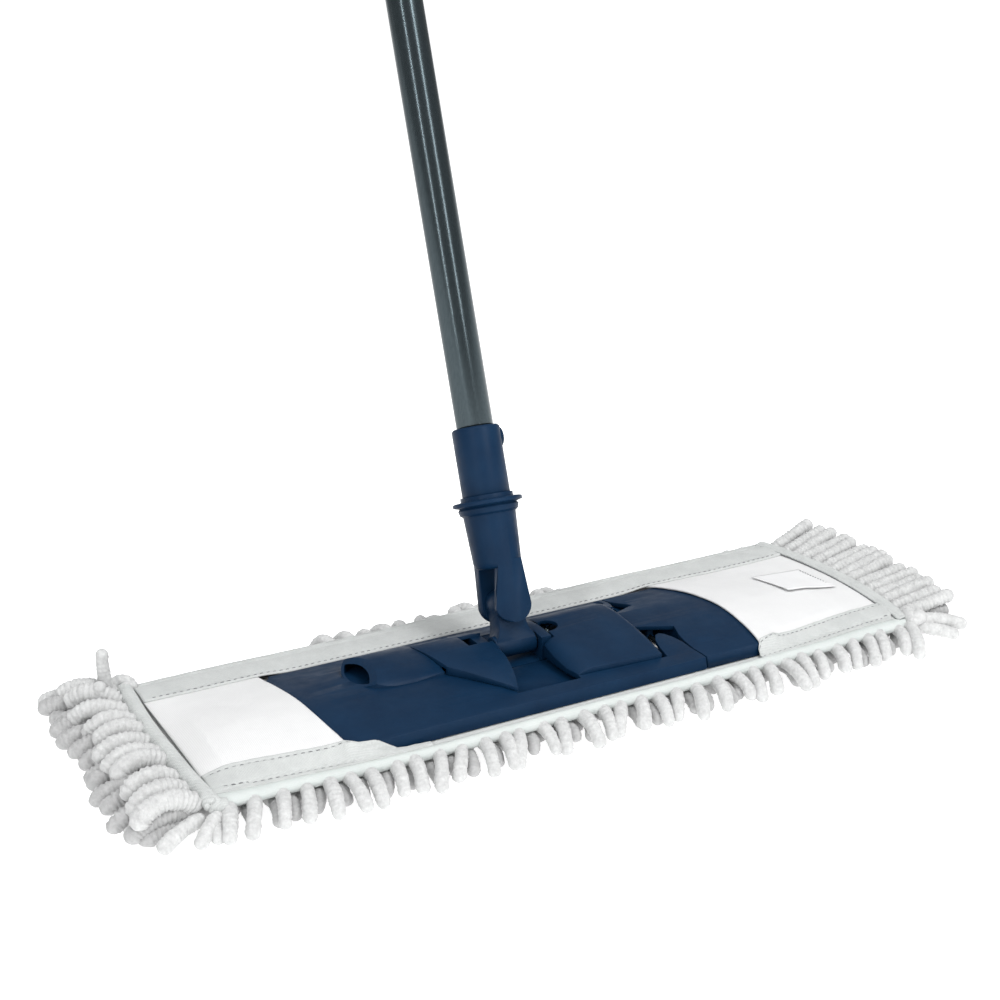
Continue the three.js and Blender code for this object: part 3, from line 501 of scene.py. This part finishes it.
def soften_edges(node):
    weld = node.modifiers.new("weld", "WELD")
    weld.merge_threshold = WELD_REACH
    edge = node.modifiers.new("edge", "BEVEL")
    edge.width = EDGE_BEVEL
    edge.segments = 2
    edge.limit_method = "ANGLE"
    edge.angle_limit = math.radians(30)
    edge.harden_normals = True


def finish_hard_parts():
    """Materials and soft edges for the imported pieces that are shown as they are."""
    finishes = {"navy_plastic": NAVY, "pole_metal": POLE, "steel": STEEL, "grip_rubber": RUBBER}
    slots = {row["node"]: row["material_slot"] for row in frame["record"]["subparts"]}
    for name, node in NODES.items():
        if slots[name] not in finishes:
            continue
        # Steel deep inside the plate is given the dark pole metal as painted shade.
        finish = POLE if name in STEEL_IN_PAINTED_SHADE else finishes[slots[name]]
        node.data.materials.clear()
        node.data.materials.append(finish)
        node.data.polygons.foreach_set("use_smooth", [True] * len(node.data.polygons))
        soften_edges(node)


# ---- pocket cloths ------------------------------------------------------------------------------


def tree_of(name):
    """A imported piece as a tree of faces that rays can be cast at."""
    mesh = NODES[name].data
    faces = [tuple(polygon.vertices) for polygon in mesh.polygons]
    return BVHTree.FromPolygons([vertex.co for vertex in mesh.vertices], faces)


PLATES = [tree_of("main_plate"), tree_of("right_wing")]


def plate_height(x, y):
    """Top of the plate at a point of the plan, or 0 beside it."""
    hits = [plate.ray_cast((x, y, 0.1), (0, 0, -1))[0] for plate in PLATES]
    return max([hit.z for hit in hits if hit is not None], default=0)


def mouth_x(side, y):
    """A pocket's open edge: the left one comes further in at its front, the right one is bowed."""
    if side < 0:
        slant = min(1.0, max(0.0, (0.020 - y) / 0.085))
        return (-155.6 + 7.2 * slant ** 2) * MM
    return (120.6 - 5.2 * ((y + 0.015) / 0.055) ** 2) * MM


def end_bow(y):
    """How far the pad's right end bows out, from 0 at the corners to 1 in the middle."""
    return max(0.0, 1 - (y / HALF_DEPTH) ** 2)


def end_lift(side, y):
    """How far the pad's ends rise between their corners."""
    return (2.6 if side > 0 else 1.2) * MM * end_bow(y)


def taut(obstacle, held):
    """Relaxes a cloth onto an obstacle: the lowest taut surface, level with it wherever it is held."""
    z = obstacle.copy()
    for _ in range(900):
        padded = np.pad(z, ((1, 1), (1, 1)), mode="edge")
        mean = (padded[2:, 1:-1] + padded[:-2, 1:-1] + padded[1:-1, 2:] + padded[1:-1, :-2]) / 4
        z = np.where(held, obstacle, np.maximum(obstacle, mean))
    return z


class PocketCloth:
    """The underside of a pocket as a grid: u runs from the mouth to the end, v from front to back."""

    columns, rows = 64, 100

    def __init__(self, side):
        self.side = side
        self.rest = BIND_TOP + 0.2 * MM
        obstacle = np.full((self.columns, self.rows), self.rest)
        held = np.zeros(obstacle.shape, bool)
        for i, j, u, y in self.spots():
            pad = self.rest + end_lift(side, y) * u ** 4
            obstacle[i, j] = max(pad, plate_height(self.x(u, y), y) + 0.5 * MM)
            # The cloth is sewn down along its end, its front edge and under the back band.
            held[i, j] = i == self.columns - 1 or j == 0 or y > BACK_INNER + 3 * MM
        self.z = taut(obstacle, held)
        for i, j, u, y in self.spots():
            self.z[i, j] += self.ripple(u, y)

    def spots(self):
        """Each grid point: its column, its row, its share u of the way to the end, and its y."""
        for i in range(self.columns):
            u = i / (self.columns - 1)
            for j in range(self.rows):
                yield i, j, u, self.y(u, j / (self.rows - 1))

    def ripple(self, u, y):
        """Slight unevenness where the cloth isn't sewn down."""
        inside = min(BACK_INNER - y, y - self.front(u))
        free = min(1.0, 4 * (1 - u)) * min(1.0, max(0.0, inside) / (14 * MM))
        return 0.7 * MM * free * abs(noise.noise(Vector((u * 2.4, y * 26, self.side * 3.7))))

    def front(self, u):
        """The front edge: by the pad's rim at the mouth, and drawn in towards the pad's end."""
        return -(HALF_DEPTH - (2.2 + 5.8 * min(1.0, 2 * u) ** 1.5) * MM)

    def y(self, u, v):
        return self.front(u) * (1 - v) + POCKET_HALF * v

    def x(self, u, y):
        mouth = mouth_x(self.side, y)
        return mouth + u * (self.end(y) - mouth)

    def end(self, y):
        return self.side * (POCKET_END + (5 * MM * end_bow(y) if self.side > 0 else 0))

    def height(self, x, y):
        """Top of the cloth over a point of the plan, or of the flat pad past its edges."""
        mouth = mouth_x(self.side, y)
        u = (x - mouth) / (self.end(y) - mouth)
        front = self.front(min(1.0, max(0.0, u)))
        if u < 0 or y > POCKET_HALF or y < front:
            return self.rest
        i = min(u, 0.9999) * (self.columns - 1)
        j = (y - front) / (POCKET_HALF - front) * (self.rows - 1)
        a, b = int(i), min(int(j), self.rows - 2)
        s, t = i - a, j - b
        low = self.z[a, b] * (1 - t) + self.z[a, b + 1] * t
        high = self.z[a + 1, b] * (1 - t) + self.z[a + 1, b + 1] * t
        return low * (1 - s) + high * s + CLOTH

    def build(self, name, body, node, rests_on):
        low = [(self.x(u, y), y, self.z[i, j]) for i, j, u, y in self.spots()]
        obj = doubled(name, low, self.columns, self.rows, CLOTH, WHITE_CLOTH, self.side > 0)
        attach(obj, body)
        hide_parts(node)


def doubled(name, low, columns, rows, thickness, material, flip):
    """A closed sheet from a grid of points on its underside.

    Thickness is one number or one for each point. Flip turns the faces when the grid runs the other way.
    """
    steps = np.broadcast_to(np.asarray(thickness, float), (len(low),))
    top = [(x, y, z + steps[k]) for k, (x, y, z) in enumerate(low)]
    count = len(low)
    faces = grid_faces(columns, rows)
    under = [tuple(count + k for k in face[::-1]) for face in faces]
    rim = [(0, j) for j in range(rows)]
    rim += [(i, rows - 1) for i in range(1, columns)]
    rim += [(columns - 1, j) for j in range(rows - 2, -1, -1)]
    rim += [(i, 0) for i in range(columns - 2, 0, -1)]
    ids = [i * rows + j for i, j in rim]
    after = ids[1:] + ids[:1]
    walls = [(b, a, count + a, count + b) for a, b in zip(ids, after)]
    faces = faces + under + walls
    if not flip:
        faces = [face[::-1] for face in faces]
    return piece(name, top + list(low), faces, material)


def flexed(obj):
    """A piece of the pad that runs past the fold between the frame and the wing: its placement is baked
    into its points.
    """
    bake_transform(obj)


# ---- bands, rolls and stitches ------------------------------------------------------------------


def front_inner(side, x):
    """Inner edge of a front band: by the plate's lip at the mouth, further in towards the pad's end."""
    mouth = mouth_x(side, MOUTH_FRONT)
    t = min(1.0, max(0.0, (x - mouth) / (side * POCKET_END - mouth)))
    past = min(1.0, max(0.0, side * (mouth - x) / RUN_OUT[side]))
    if side < 0:
        return -(48 + 14.5 * (1 - t) ** 1.5 + 8 * past ** 0.6) * MM
    return -(48.5 + 17.5 * (1 - t) ** 1.3 + 3 * past) * MM


def roll_width(x):
    """Half width of the front roll: flat and wide at the pad's ends, round along the plate."""
    left = min(1.0, max(0.0, (-0.150 - x) / 0.080))
    right = min(1.0, max(0.0, (x - 0.118) / 0.080))
    return ROLL_RADIUS + 2.3 * MM * left + 1.4 * MM * right


def roll_seam(x):
    """The line where the front band is sewn to the roll."""
    _, y, _ = roll_path("front", x)
    return y + 2 * roll_width(x) - ROLL_RADIUS


def front_band_y(side, x, share):
    """Across a front band, from its inner edge to its outer edge under the roll."""
    return front_inner(side, x) * (1 - share) + (roll_seam(x) - ROLL_TUCK) * share


def back_inner(x):
    """Inner edge of the back band, slightly wavy."""
    return BACK_INNER + 0.9 * MM * noise.noise(Vector((x * 14, 2.2, 0)))


def ground(x, y):
    """What a band lies on: the pocket's cloth, running out smoothly past its mouth to the flat pad."""
    side = -1 if x < 0 else 1
    cloth = LEFT_CLOTH if x < 0 else RIGHT_CLOTH
    past = side * (mouth_x(side, y) - x)
    if past <= 0:
        return max(cloth.height(x, y), plate_height(x, y) + LAP)
    edge = cloth.height(mouth_x(side, y) + side * 0.1 * MM, y)
    lying = cloth.rest + (edge - cloth.rest) * math.exp(-(past / (14 * MM)) ** 2)
    return max(lying, plate_height(x, y) + LAP)


def band_profile(share):
    """Thickness of a band from its folded inner edge to the roll, as a share of its full thickness."""
    fold = 0.35 + 0.65 * min(1.0, share / 0.05)
    inner = math.exp(-((share - INNER_SEAM) / 0.025) ** 2)
    groove = inner + math.exp(-((share - OUTER_SEAM) / 0.03) ** 2)
    return fold * (1 - 0.42 * groove) + 0.20 * math.sin(math.pi * share)


def pocket_band(name, side, body):
    """The stitched fold of cloth over a pocket's front edge; it runs out past the mouth."""
    columns, rows = 120, 26
    start = mouth_x(side, MOUTH_FRONT) - side * RUN_OUT[side]
    low, thick = [], []
    for x in np.linspace(start, side * POCKET_END, columns):
        for j in range(rows):
            share = j / (rows - 1)
            y = front_band_y(side, x, share)
            low.append((x, y, ground(x, y) + 0.1 * MM))
            pucker = 1 + 0.22 * noise.noise(Vector((x * 210, y * 60, side)))
            thick.append(BAND * band_profile(share) * pucker)
    obj = doubled(name, low, columns, rows, thick, BINDING, side < 0)
    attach(obj, body)


def back_band():
    """The wide tape along the back edge, over both pockets and the pad between them."""
    columns, rows = 260, 22
    low, thick = [], []
    for i in range(columns):
        x = -POCKET_END + 2 * POCKET_END * i / (columns - 1)
        for j in range(rows):
            share = j / (rows - 1)
            y = back_inner(x) * (1 - share) + BAND_BACK * share
            low.append((x, y, ground(x, y) + 0.1 * MM))
            pucker = 1 + 0.25 * noise.noise(Vector((x * 190, y * 60, 5)))
            thick.append(BAND * band_profile(share) * pucker)
    obj = doubled("back_band", low, columns, rows, thick, BINDING, True)
    flexed(obj)


def front_hem():
    """The flat tape that joins the front roll to the pad under the plate's lip."""
    xs = np.linspace(LEFT, RIGHT, 120)
    outer, inner = -(HALF_DEPTH - 0.5 * MM), -(HALF_DEPTH - 9 * MM)
    low, high = BACKING_TOP + LAP, BIND_TOP - LAP
    section = [(outer, low), (outer, high), (inner, high), (inner, low)]
    obj = strip("front_hem", section, xs, BINDING)
    flexed(obj)


def roll_path(edge, x):
    """Centre of the roll round a long edge: it bows out where the plate presses the pad flat."""
    sign = -1 if edge == "front" else 1
    middle = (LEFT + RIGHT) / 2 - 12 * MM
    bow = max(0.0, 1 - ((x - middle) / (RIGHT * 0.92)) ** 4)
    seed = 3.0 if edge == "front" else 11.0
    sway = 1.1 * MM * noise.noise(Vector((x * 15, seed, 0.5)))
    rise = 0.6 * MM * noise.noise(Vector((x * 15, seed, 7.5)))
    out = BIND_RIM - ROLL_RADIUS + 0.2 * MM + sway + (2.6 * MM * bow if edge == "front" else 0)
    flat = 1 - bow if edge == "front" else 0
    return x, sign * out, BIND_TOP - ROLL_RADIUS + (1.6 + 0.5 * flat + 0.3 * bow) * MM + rise


def long_roll(edge):
    """The cloth wrapped round a long edge: a rounded section that widens inwards only."""
    strands = Strands()
    sign = -1 if edge == "front" else 1
    xs = np.linspace(LEFT - 1 * MM, RIGHT + 1 * MM, 240)
    turns = np.linspace(0, 2 * math.pi, 24, endpoint=False)
    rings = []
    for i, x in enumerate(xs):
        _, y, z = roll_path(edge, x)
        half = roll_width(x) if edge == "front" else ROLL_RADIUS
        tall = ROLL_RADIUS * (1 + 0.05 * noise.noise(Vector((x * 120, 1, 4))))
        if i in (0, len(xs) - 1):
            half, tall = 0.6 * half, 0.6 * tall
        middle = y - sign * (half - ROLL_RADIUS)
        rings.append([(x, middle + sign * half * math.cos(a), z + tall * math.sin(a)) for a in turns])
    strands.rings(np.array(rings), 0)
    obj = strands.build(f"{edge}_roll", [ROLL if edge == "front" else BINDING], "binding_cloth")
    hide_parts(f"{edge}_binding_main", f"{edge}_binding_wing")
    flexed(obj)


def stitches(name, path, body, pitch=4.0 * MM, length=2.7 * MM, radius=0.3 * MM):
    """A row of separate stitches along a path of points that lie on the cloth."""
    path = np.asarray(path, float)
    along = np.concatenate([[0], np.cumsum(np.linalg.norm(np.diff(path, axis=0), axis=1))])
    strands = Strands()
    at = 0.5 * pitch
    while at + length < along[-1]:
        spots = at + length * np.linspace(0, 1, 5)
        points = np.stack([np.interp(spots, along, path[:, k]) for k in range(3)], 1)
        points[:, 2] += radius * np.array([-0.6, 0.5, 0.7, 0.5, -0.6])
        strands.tube(points, radius * np.array([0.5, 1, 1, 1, 0.5]), 6)
        at += pitch
    obj = strands.build(name, [THREAD], "binding_cloth")
    if body:
        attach(obj, body)
    else:
        flexed(obj)


def sew_bands():
    """Stitch rows: along each band's inner fold, and along the front bands' outer fold."""
    xs = np.linspace(-POCKET_END + 3 * MM, POCKET_END - 3 * MM, 400)
    ys = [back_inner(x) + 1.6 * MM for x in xs]
    row = [(x, y, ground(x, y) + BAND) for x, y in zip(xs, ys)]
    stitches("back_stitches", row, None)
    for side, body in ((-1, "frame"), (1, "wing")):
        start = mouth_x(side, MOUTH_FRONT) - side * 4 * MM
        xs = np.linspace(start, side * (POCKET_END - 3 * MM), 160)
        word = "left" if side < 0 else "right"
        for label, share in (("inner", INNER_SEAM), ("outer", OUTER_SEAM)):
            ys = [front_band_y(side, x, share) for x in xs]
            row = [(x, y, ground(x, y) + 0.75 * BAND) for x, y in zip(xs, ys)]
            stitches(f"{word}_{label}_stitches", row, body)


def strip(name, section, xs, material):
    """A closed band with one cross-section of (y, z) points along X."""
    vertices = [(x, y, z) for x in xs for y, z in section]
    count = len(section)
    faces = grid_faces(len(xs), count, close_columns=True)
    faces.append(tuple(range(count))[::-1])
    faces.append(tuple((len(xs) - 1) * count + j for j in range(count)))
    return piece(name, vertices, faces, material)


def left_cord():
    """The twisted cord that closes the left end."""
    strands = Strands()
    ys = np.linspace(-BIND_RIM - 1 * MM, BIND_RIM - 6 * MM, 220)
    for k in range(5):
        path, radii = [], []
        for y in ys:
            angle = y / (15 * MM) * 2 * math.pi + k * 2 * math.pi / 5
            bow = 1 - ((y - 4 * MM) / BIND_RIM) ** 2
            x = -END_RIM + (3.2 - 4.5 * bow) * MM + 0.8 * MM * noise.noise(Vector((y * 30, 1, 1)))
            z = BIND_TOP + (1.6 + 2.2 * bow) * MM
            path.append((x + 3.2 * MM * math.cos(angle), y, z + 2.8 * MM * math.sin(angle)))
            radii.append(1.75 * MM)
        radii[0] = radii[-1] = 1.2 * MM
        strands.tube(path, radii, 12)
    wrap = [(-END_RIM + 2 * MM, -BIND_RIM + 8 * MM, BIND_TOP + 2 * MM),
            (-END_RIM + 3 * MM, -BIND_RIM - 0.5 * MM, BIND_TOP + 0.5 * MM),
            (-END_RIM + 11 * MM, -BIND_RIM + 0.5 * MM, BIND_TOP - 1.2 * MM)]
    strands.tube(bezier(wrap, 20), 4.2 * MM * np.array([0.5] + [1.0] * 18 + [0.5]), 14)
    obj = strands.build("left_end_cord", [BINDING], "binding_cloth")
    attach(obj, "frame")
    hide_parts("left_end_binding")


def end_band_x(share, y):
    """Across the right end's tape, from its inner edge on the pocket to its outer edge."""
    return POCKET_END + (-4.5 + 5 * end_bow(y) + share * (11.0 + 1.5 * end_bow(y))) * MM


def right_end_band():
    """The doubled tape that closes the right end; it bows outwards between the corners."""
    columns, rows = 460, 20
    low, thick = [], []
    for i in range(columns):
        y = -HALF_DEPTH + 2 * HALF_DEPTH * i / (columns - 1)
        for j in range(rows):
            share = j / (rows - 1)
            x = end_band_x(share, y)
            z = BIND_TOP + CLOTH + end_lift(1, y) + LAP
            low.append((x, y, z + (1.5 * math.sin(math.pi * share) ** 0.8 - 2.2 * share ** 2) * MM))
            rib = 0.16 * math.sin((y + 0.9 * x) / (2.1 * MM) * 2 * math.pi) * math.sin(math.pi * share)
            pucker = 1 + 0.25 * noise.noise(Vector((x * 90, y * 230, 9)))
            thick.append(BAND * (1.1 + rib - 0.5 * math.exp(-((share - 0.14) / 0.05) ** 2)) * pucker)
    obj = doubled("right_end_band", low, columns, rows, thick, BINDING, False)
    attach(obj, "wing")
    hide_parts("right_end_binding")
    row = []
    for y in np.linspace(-HALF_DEPTH + 4 * MM, HALF_DEPTH - 4 * MM, 160):
        row.append((end_band_x(-0.01, y), y, BIND_TOP + CLOTH + end_lift(1, y) + 0.9 * MM))
    stitches("right_end_stitches", row, "wing", 3.0 * MM, 2.7 * MM, 0.4 * MM)


# ---- pad ----------------------------------------------------------------------------------------


def pad_backing():
    """The backing cloth, in one piece across the fold."""
    xs = np.linspace(LEFT, RIGHT, 150)
    half, low = HALF_DEPTH, PILE_TOP + LAP
    section = [(-half, low), (-half, BACKING_TOP), (half, BACKING_TOP), (half, low)]
    backing = strip("pad_backing", section, xs, WHITE_CLOTH)
    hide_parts("pad_backing_main", "pad_backing_wing")
    flexed(backing)


def pad_pile():
    """The dense pile of short strands under the backing, in one piece across the fold, in the darker
    chenille as painted shade.
    """
    rng = random.Random(5)
    strands = Strands()
    pitch = 9.4 * MM
    rows = int((BACK - FRONT - 6 * MM) / pitch)
    columns = int((RIGHT - LEFT - 6 * MM) / pitch)
    radius = 4.6 * MM
    for i in range(columns + 1):
        for j in range(rows + 1):
            x = LEFT + 5 * MM + i * (RIGHT - LEFT - 10 * MM) / columns + rng.uniform(-1, 1) * MM
            y = FRONT + 5 * MM + j * (BACK - FRONT - 10 * MM) / rows + rng.uniform(-1, 1) * MM
            lean_x, lean_y = rng.uniform(-5, 5) * MM, rng.uniform(-5, 5) * MM
            path = bezier([(x, y, PILE_TOP), (x, y, 6 * MM), (x + lean_x, y + lean_y, radius)], 5)
            end = (x + lean_x * 1.1, y + lean_y * 1.1)
            path = np.vstack([path, [(*end, radius * 0.45)], [(*end, 0.25 * MM)]])
            radii = [radius, radius, radius, radius, radius, radius * 0.85, radius * 0.3]
            strands.tube(path, radii, 9)
    pile = strands.build("pad_pile", [CHENILLE_PAINTED_SHADE], "chenille")
    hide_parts("pad_pile_main", "pad_pile_wing")
    flexed(pile)


# ---- fringes ------------------------------------------------------------------------------------


def single_strands(strands, rng, rows):
    """Strands placed one by one: rows of a radius, a rib and control points, in millimetres."""
    for radius, rib, points in rows:
        noodle(strands, np.array(points) * MM, radius * MM, rng, rib, CORNER_PITCH, 14)


def front_fringe():
    """Soft strands under the front roll: a light row in front and a shorter one behind it, darker with
    painted shade.
    """
    rng = random.Random(21)
    strands = Strands()
    count = 35
    for i in range(count):
        x = LEFT + 4 * MM + (RIGHT - LEFT - 8 * MM) * (i + 0.5) / count + rng.uniform(-2.0, 2.0) * MM
        swing = rng.gauss(-6.5, 2.8) * MM
        _, y, _ = roll_path("front", x)
        reach = rng.uniform(19, 26) * MM
        controls = [
            (x, y + 2 * MM, 12 * MM),
            (x + swing * 0.2, y - 0.40 * reach, (14.5 + rng.uniform(0, 1.5)) * MM),
            (x + swing * 0.8, y - 0.80 * reach, 10.5 * MM),
            (x + swing, y - reach, EDGE_STRAND * 1.02),
        ]
        noodle(strands, controls, EDGE_STRAND * rng.uniform(0.92, 1.06), rng, 0.035, EDGE_PITCH)
    for i in range(count + 1):
        x = LEFT + (RIGHT - LEFT) * (i + 0.5) / (count + 1) + rng.uniform(-2.5, 2.5) * MM
        _, y, _ = roll_path("front", x)
        controls = [
            (x, y + 3 * MM, 7 * MM),
            (x, y - 7 * MM, 8 * MM),
            (x - rng.uniform(1, 8) * MM, y - rng.uniform(11, 17) * MM, 3.8 * MM),
        ]
        noodle(strands, controls, EDGE_STRAND * 0.93, rng, 0.03, EDGE_PITCH, material=1)
    obj = strands.build("front_fringe", [CHENILLE, CHENILLE_PAINTED_SHADE], "chenille")
    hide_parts("front_fringe_main", "front_fringe_wing")
    flexed(obj)


def back_fringe():
    """The same strands along the back, where they lie flatter; a few curl up over the edge."""
    rng = random.Random(34)
    strands = Strands()
    count = 37
    for i in range(count):
        x = LEFT + 4 * MM + (RIGHT - LEFT - 8 * MM) * (i + 0.5) / count + rng.uniform(-2.2, 2.2) * MM
        _, y, _ = roll_path("back", x)
        reach = rng.uniform(15, 22) * MM
        curled = -100 * MM < x < 60 * MM
        rise = rng.uniform(2.5, 5.5) * MM if curled else 0
        swing = rng.uniform(-8, 8) * MM
        controls = [
            (x, y - 2 * MM, 9.5 * MM),
            (x + 0.2 * swing, y + 0.5 * reach, 10 * MM + 1.8 * rise),
            (x + 0.8 * swing, y + 0.9 * reach, 5 * MM + rise),
            (x + swing, y + reach, EDGE_STRAND * 1.02),
        ]
        noodle(strands, controls, EDGE_STRAND * rng.uniform(0.92, 1.05), rng, 0.035, EDGE_PITCH)
    # A second row behind, in the darker chenille: painted shade.
    for i in range(count - 1):
        x = LEFT + (RIGHT - LEFT) * (i + 1) / count + rng.uniform(-2.5, 2.5) * MM
        _, y, _ = roll_path("back", x)
        controls = [
            (x, y - 3 * MM, 6.5 * MM),
            (x, y + 6 * MM, 6 * MM),
            (x + rng.uniform(-3, 3) * MM, y + rng.uniform(10, 15) * MM, 3.8 * MM),
        ]
        noodle(strands, controls, EDGE_STRAND * 0.93, rng, 0.03, EDGE_PITCH, material=1)
    obj = strands.build("back_fringe", [CHENILLE, CHENILLE_PAINTED_SHADE], "chenille")
    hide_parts("back_fringe_main", "back_fringe_wing")
    flexed(obj)


def left_fringe():
    """Ribbed strands that arch over the left end and droop to the floor, in three layers; the lower two
    are darkened with painted shade.
    """
    rng = random.Random(8)
    strands = Strands()
    root = -END_RIM - 5 * MM
    layers = [
        # strands, root height, arch height, tip height, reach, radius, material (1 is the darker
        # chenille, painted shade for the lower layers)
        (11, 15, 27, 14, 26, 5.0, 0),
        (12, 11, 17, 7, 35, 4.8, 1),
        (12, 7, 8, 4.8, 30, 4.8, 1),
    ]
    for count, foot, arch, tip, far, thick, shade in layers:
        for i in range(count):
            t = (i + rng.uniform(-0.25, 0.25)) / (count - 1)
            y = (-68 + 136 * t) * MM
            reach = (far + rng.uniform(-5, 4)) * MM
            sweep = (-2 + 18 * t * t + rng.uniform(-3, 3)) * MM
            controls = [
                (root + 2 * MM, y, foot * MM),
                (root - 0.25 * reach, y + 0.15 * sweep, (arch + rng.uniform(-1, 1)) * MM),
                (root - 0.90 * reach, y + 0.6 * sweep, (arch + rng.uniform(-2, 1)) * MM),
                (root - reach, y + sweep, (tip + rng.uniform(-2, 1.5)) * MM),
            ]
            radius = thick * MM * rng.uniform(0.93, 1.07)
            noodle(strands, controls, radius, rng, 0.065, END_PITCH, 16, shade, 0.14)
    left_corner(strands, rng)
    obj = strands.build("left_fringe_strands", [CHENILLE, CHENILLE_PAINTED_SHADE], "chenille")
    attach(obj, "frame")
    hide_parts("left_fringe")


def left_corner(strands, rng):
    """Single strands at the left corners; see single_strands for the columns."""
    single_strands(strands, rng, [
        (3.8, 0.02, [(-237, 68, 15), (-240, 68, 30), (-239, 67, 47)]),
        (3.9, 0.02, [(-243, 58, 10), (-246, 60, 22), (-243, 60, 31)]),
        (3.4, 0.03, [(-238, 72, 15), (-232, 74, 26), (-225, 72, 25), (-222, 72, 17)]),
        (3.2, 0.03, [(-232, 66, 17), (-227, 70, 22), (-220, 70, 18)]),
        (4.8, 0.055, [(-240, 72, 14), (-256, 84, 20), (-270, 96, 7)]),
        (5.3, 0.06, [(-236, -64, 11), (-252, -66, 15), (-270, -70, 6)]),
        (4.1, 0.03, [(-232, -74, 10), (-246, -80, 11), (-258, -86, 4.5)]),
        (4.0, 0.03, [(-222, -76, 11), (-232, -84, 12), (-240, -92, 4.2)]),
        (3.9, 0.03, [(-226, -76, 9), (-229, -84, 9), (-229, -92, 4.1)]),
    ])


def right_fringe():
    """Ribbed strands that fan out and up from the right end, over a flatter layer darkened with painted
    shade.
    """
    rng = random.Random(13)
    strands = Strands()
    layers = [
        # strands, root height, middle height, tip height, reach, radius, material (1 is the darker
        # chenille, painted shade for the lower layers)
        (15, 14.5, 20, 24, 34, 4.6, 0),
        (13, 10, 14, 15, 34, 4.5, 1),
        (12, 6, 7, 4.8, 28, 4.5, 1),
    ]
    for count, foot, middle, tip, far, thick, shade in layers:
        for i in range(count):
            t = (i + rng.uniform(-0.15, 0.15)) / (count - 1)
            y = (-62 + 128 * t) * MM
            root = end_band_x(0.92, y)
            reach = (far + rng.uniform(-3, 3)) * MM
            drift = (8 * t - 8 + rng.uniform(-2, 2)) * MM
            lift = 5 * t if shade == 0 else 0
            controls = [
                (root, y, foot * MM + end_lift(1, y)),
                (root + 0.5 * reach, y + 0.4 * drift, (middle + 0.5 * lift) * MM),
                (root + reach, y + drift, (tip + lift + rng.uniform(-2, 2)) * MM),
            ]
            radius = thick * MM * rng.uniform(0.93, 1.07)
            noodle(strands, controls, radius, rng, 0.075, END_PITCH, 16, shade, 0.14)
    right_corner(strands, rng)
    obj = strands.build("right_fringe_strands", [CHENILLE, CHENILLE_PAINTED_SHADE], "chenille")
    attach(obj, "wing")
    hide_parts("right_fringe")


def right_corner(strands, rng):
    """The knotted strands at the front right corner; see single_strands for the columns."""
    single_strands(strands, rng, [
        (4.6, 0.03, [(226, -72, 15), (230, -78, 19), (236, -74, 18), (238, -68, 14)]),
        (4.2, 0.03, [(232, -66, 17), (228, -72, 20), (226, -79, 15)]),
        (4.4, 0.035, [(234, -72, 15), (250, -76, 14), (268, -81, 7)]),
        (3.9, 0.035, [(232, -74, 11), (244, -80, 10), (256, -88, 5)]),
        (4.0, 0.03, [(224, -76, 14), (220, -90, 16), (212, -101, 4.2)]),
    ])


# ---- label --------------------------------------------------------------------------------------


def care_label():
    """A blank woven label, sewn along one edge on the right pocket and a little lifted at the other."""
    low, high = LABEL
    columns, rows = 28, 20
    under = []
    for i in range(columns):
        x = low.x + (high.x - low.x) * i / (columns - 1)
        for j in range(rows):
            share = j / (rows - 1)
            y = low.y + (high.y - low.y) * share
            lift = (1.0 * (1 - share) ** 3 + 0.6 * (1 - i / (columns - 1)) ** 2) * MM
            under.append((x, y, ground(x, y) + LAP + lift))
    obj = doubled("blank_label", under, columns, rows, 0.4 * MM, LABEL_CLOTH, True)
    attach(obj, "wing")
    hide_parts("care_label")
    x = high.x - 1.8 * MM
    row = [(x, y, ground(x, y) + 0.9 * MM) for y in np.linspace(low.y + 1 * MM, high.y - 1 * MM, 40)]
    stitches("label_stitches", row, "wing", 2.6 * MM, 1.7 * MM, 0.25 * MM)


# ---- the whole mop ------------------------------------------------------------------------------

make_camera()
make_stage()
finish_hard_parts()
LEFT_CLOTH = PocketCloth(-1)
RIGHT_CLOTH = PocketCloth(1)
LEFT_CLOTH.build("left_pocket_cloth", "frame", "left_pocket", ["main_plate"])
RIGHT_CLOTH.build("right_pocket_cloth", "wing", "right_pocket", ["right_wing"])
pad_backing()
pad_pile()
pocket_band("left_front_band", -1, "frame")
pocket_band("right_front_band", 1, "wing")
back_band()
front_hem()
long_roll("front")
long_roll("back")
sew_bands()
left_cord()
right_end_band()
front_fringe()
back_fringe()
left_fringe()
right_fringe()
care_label()
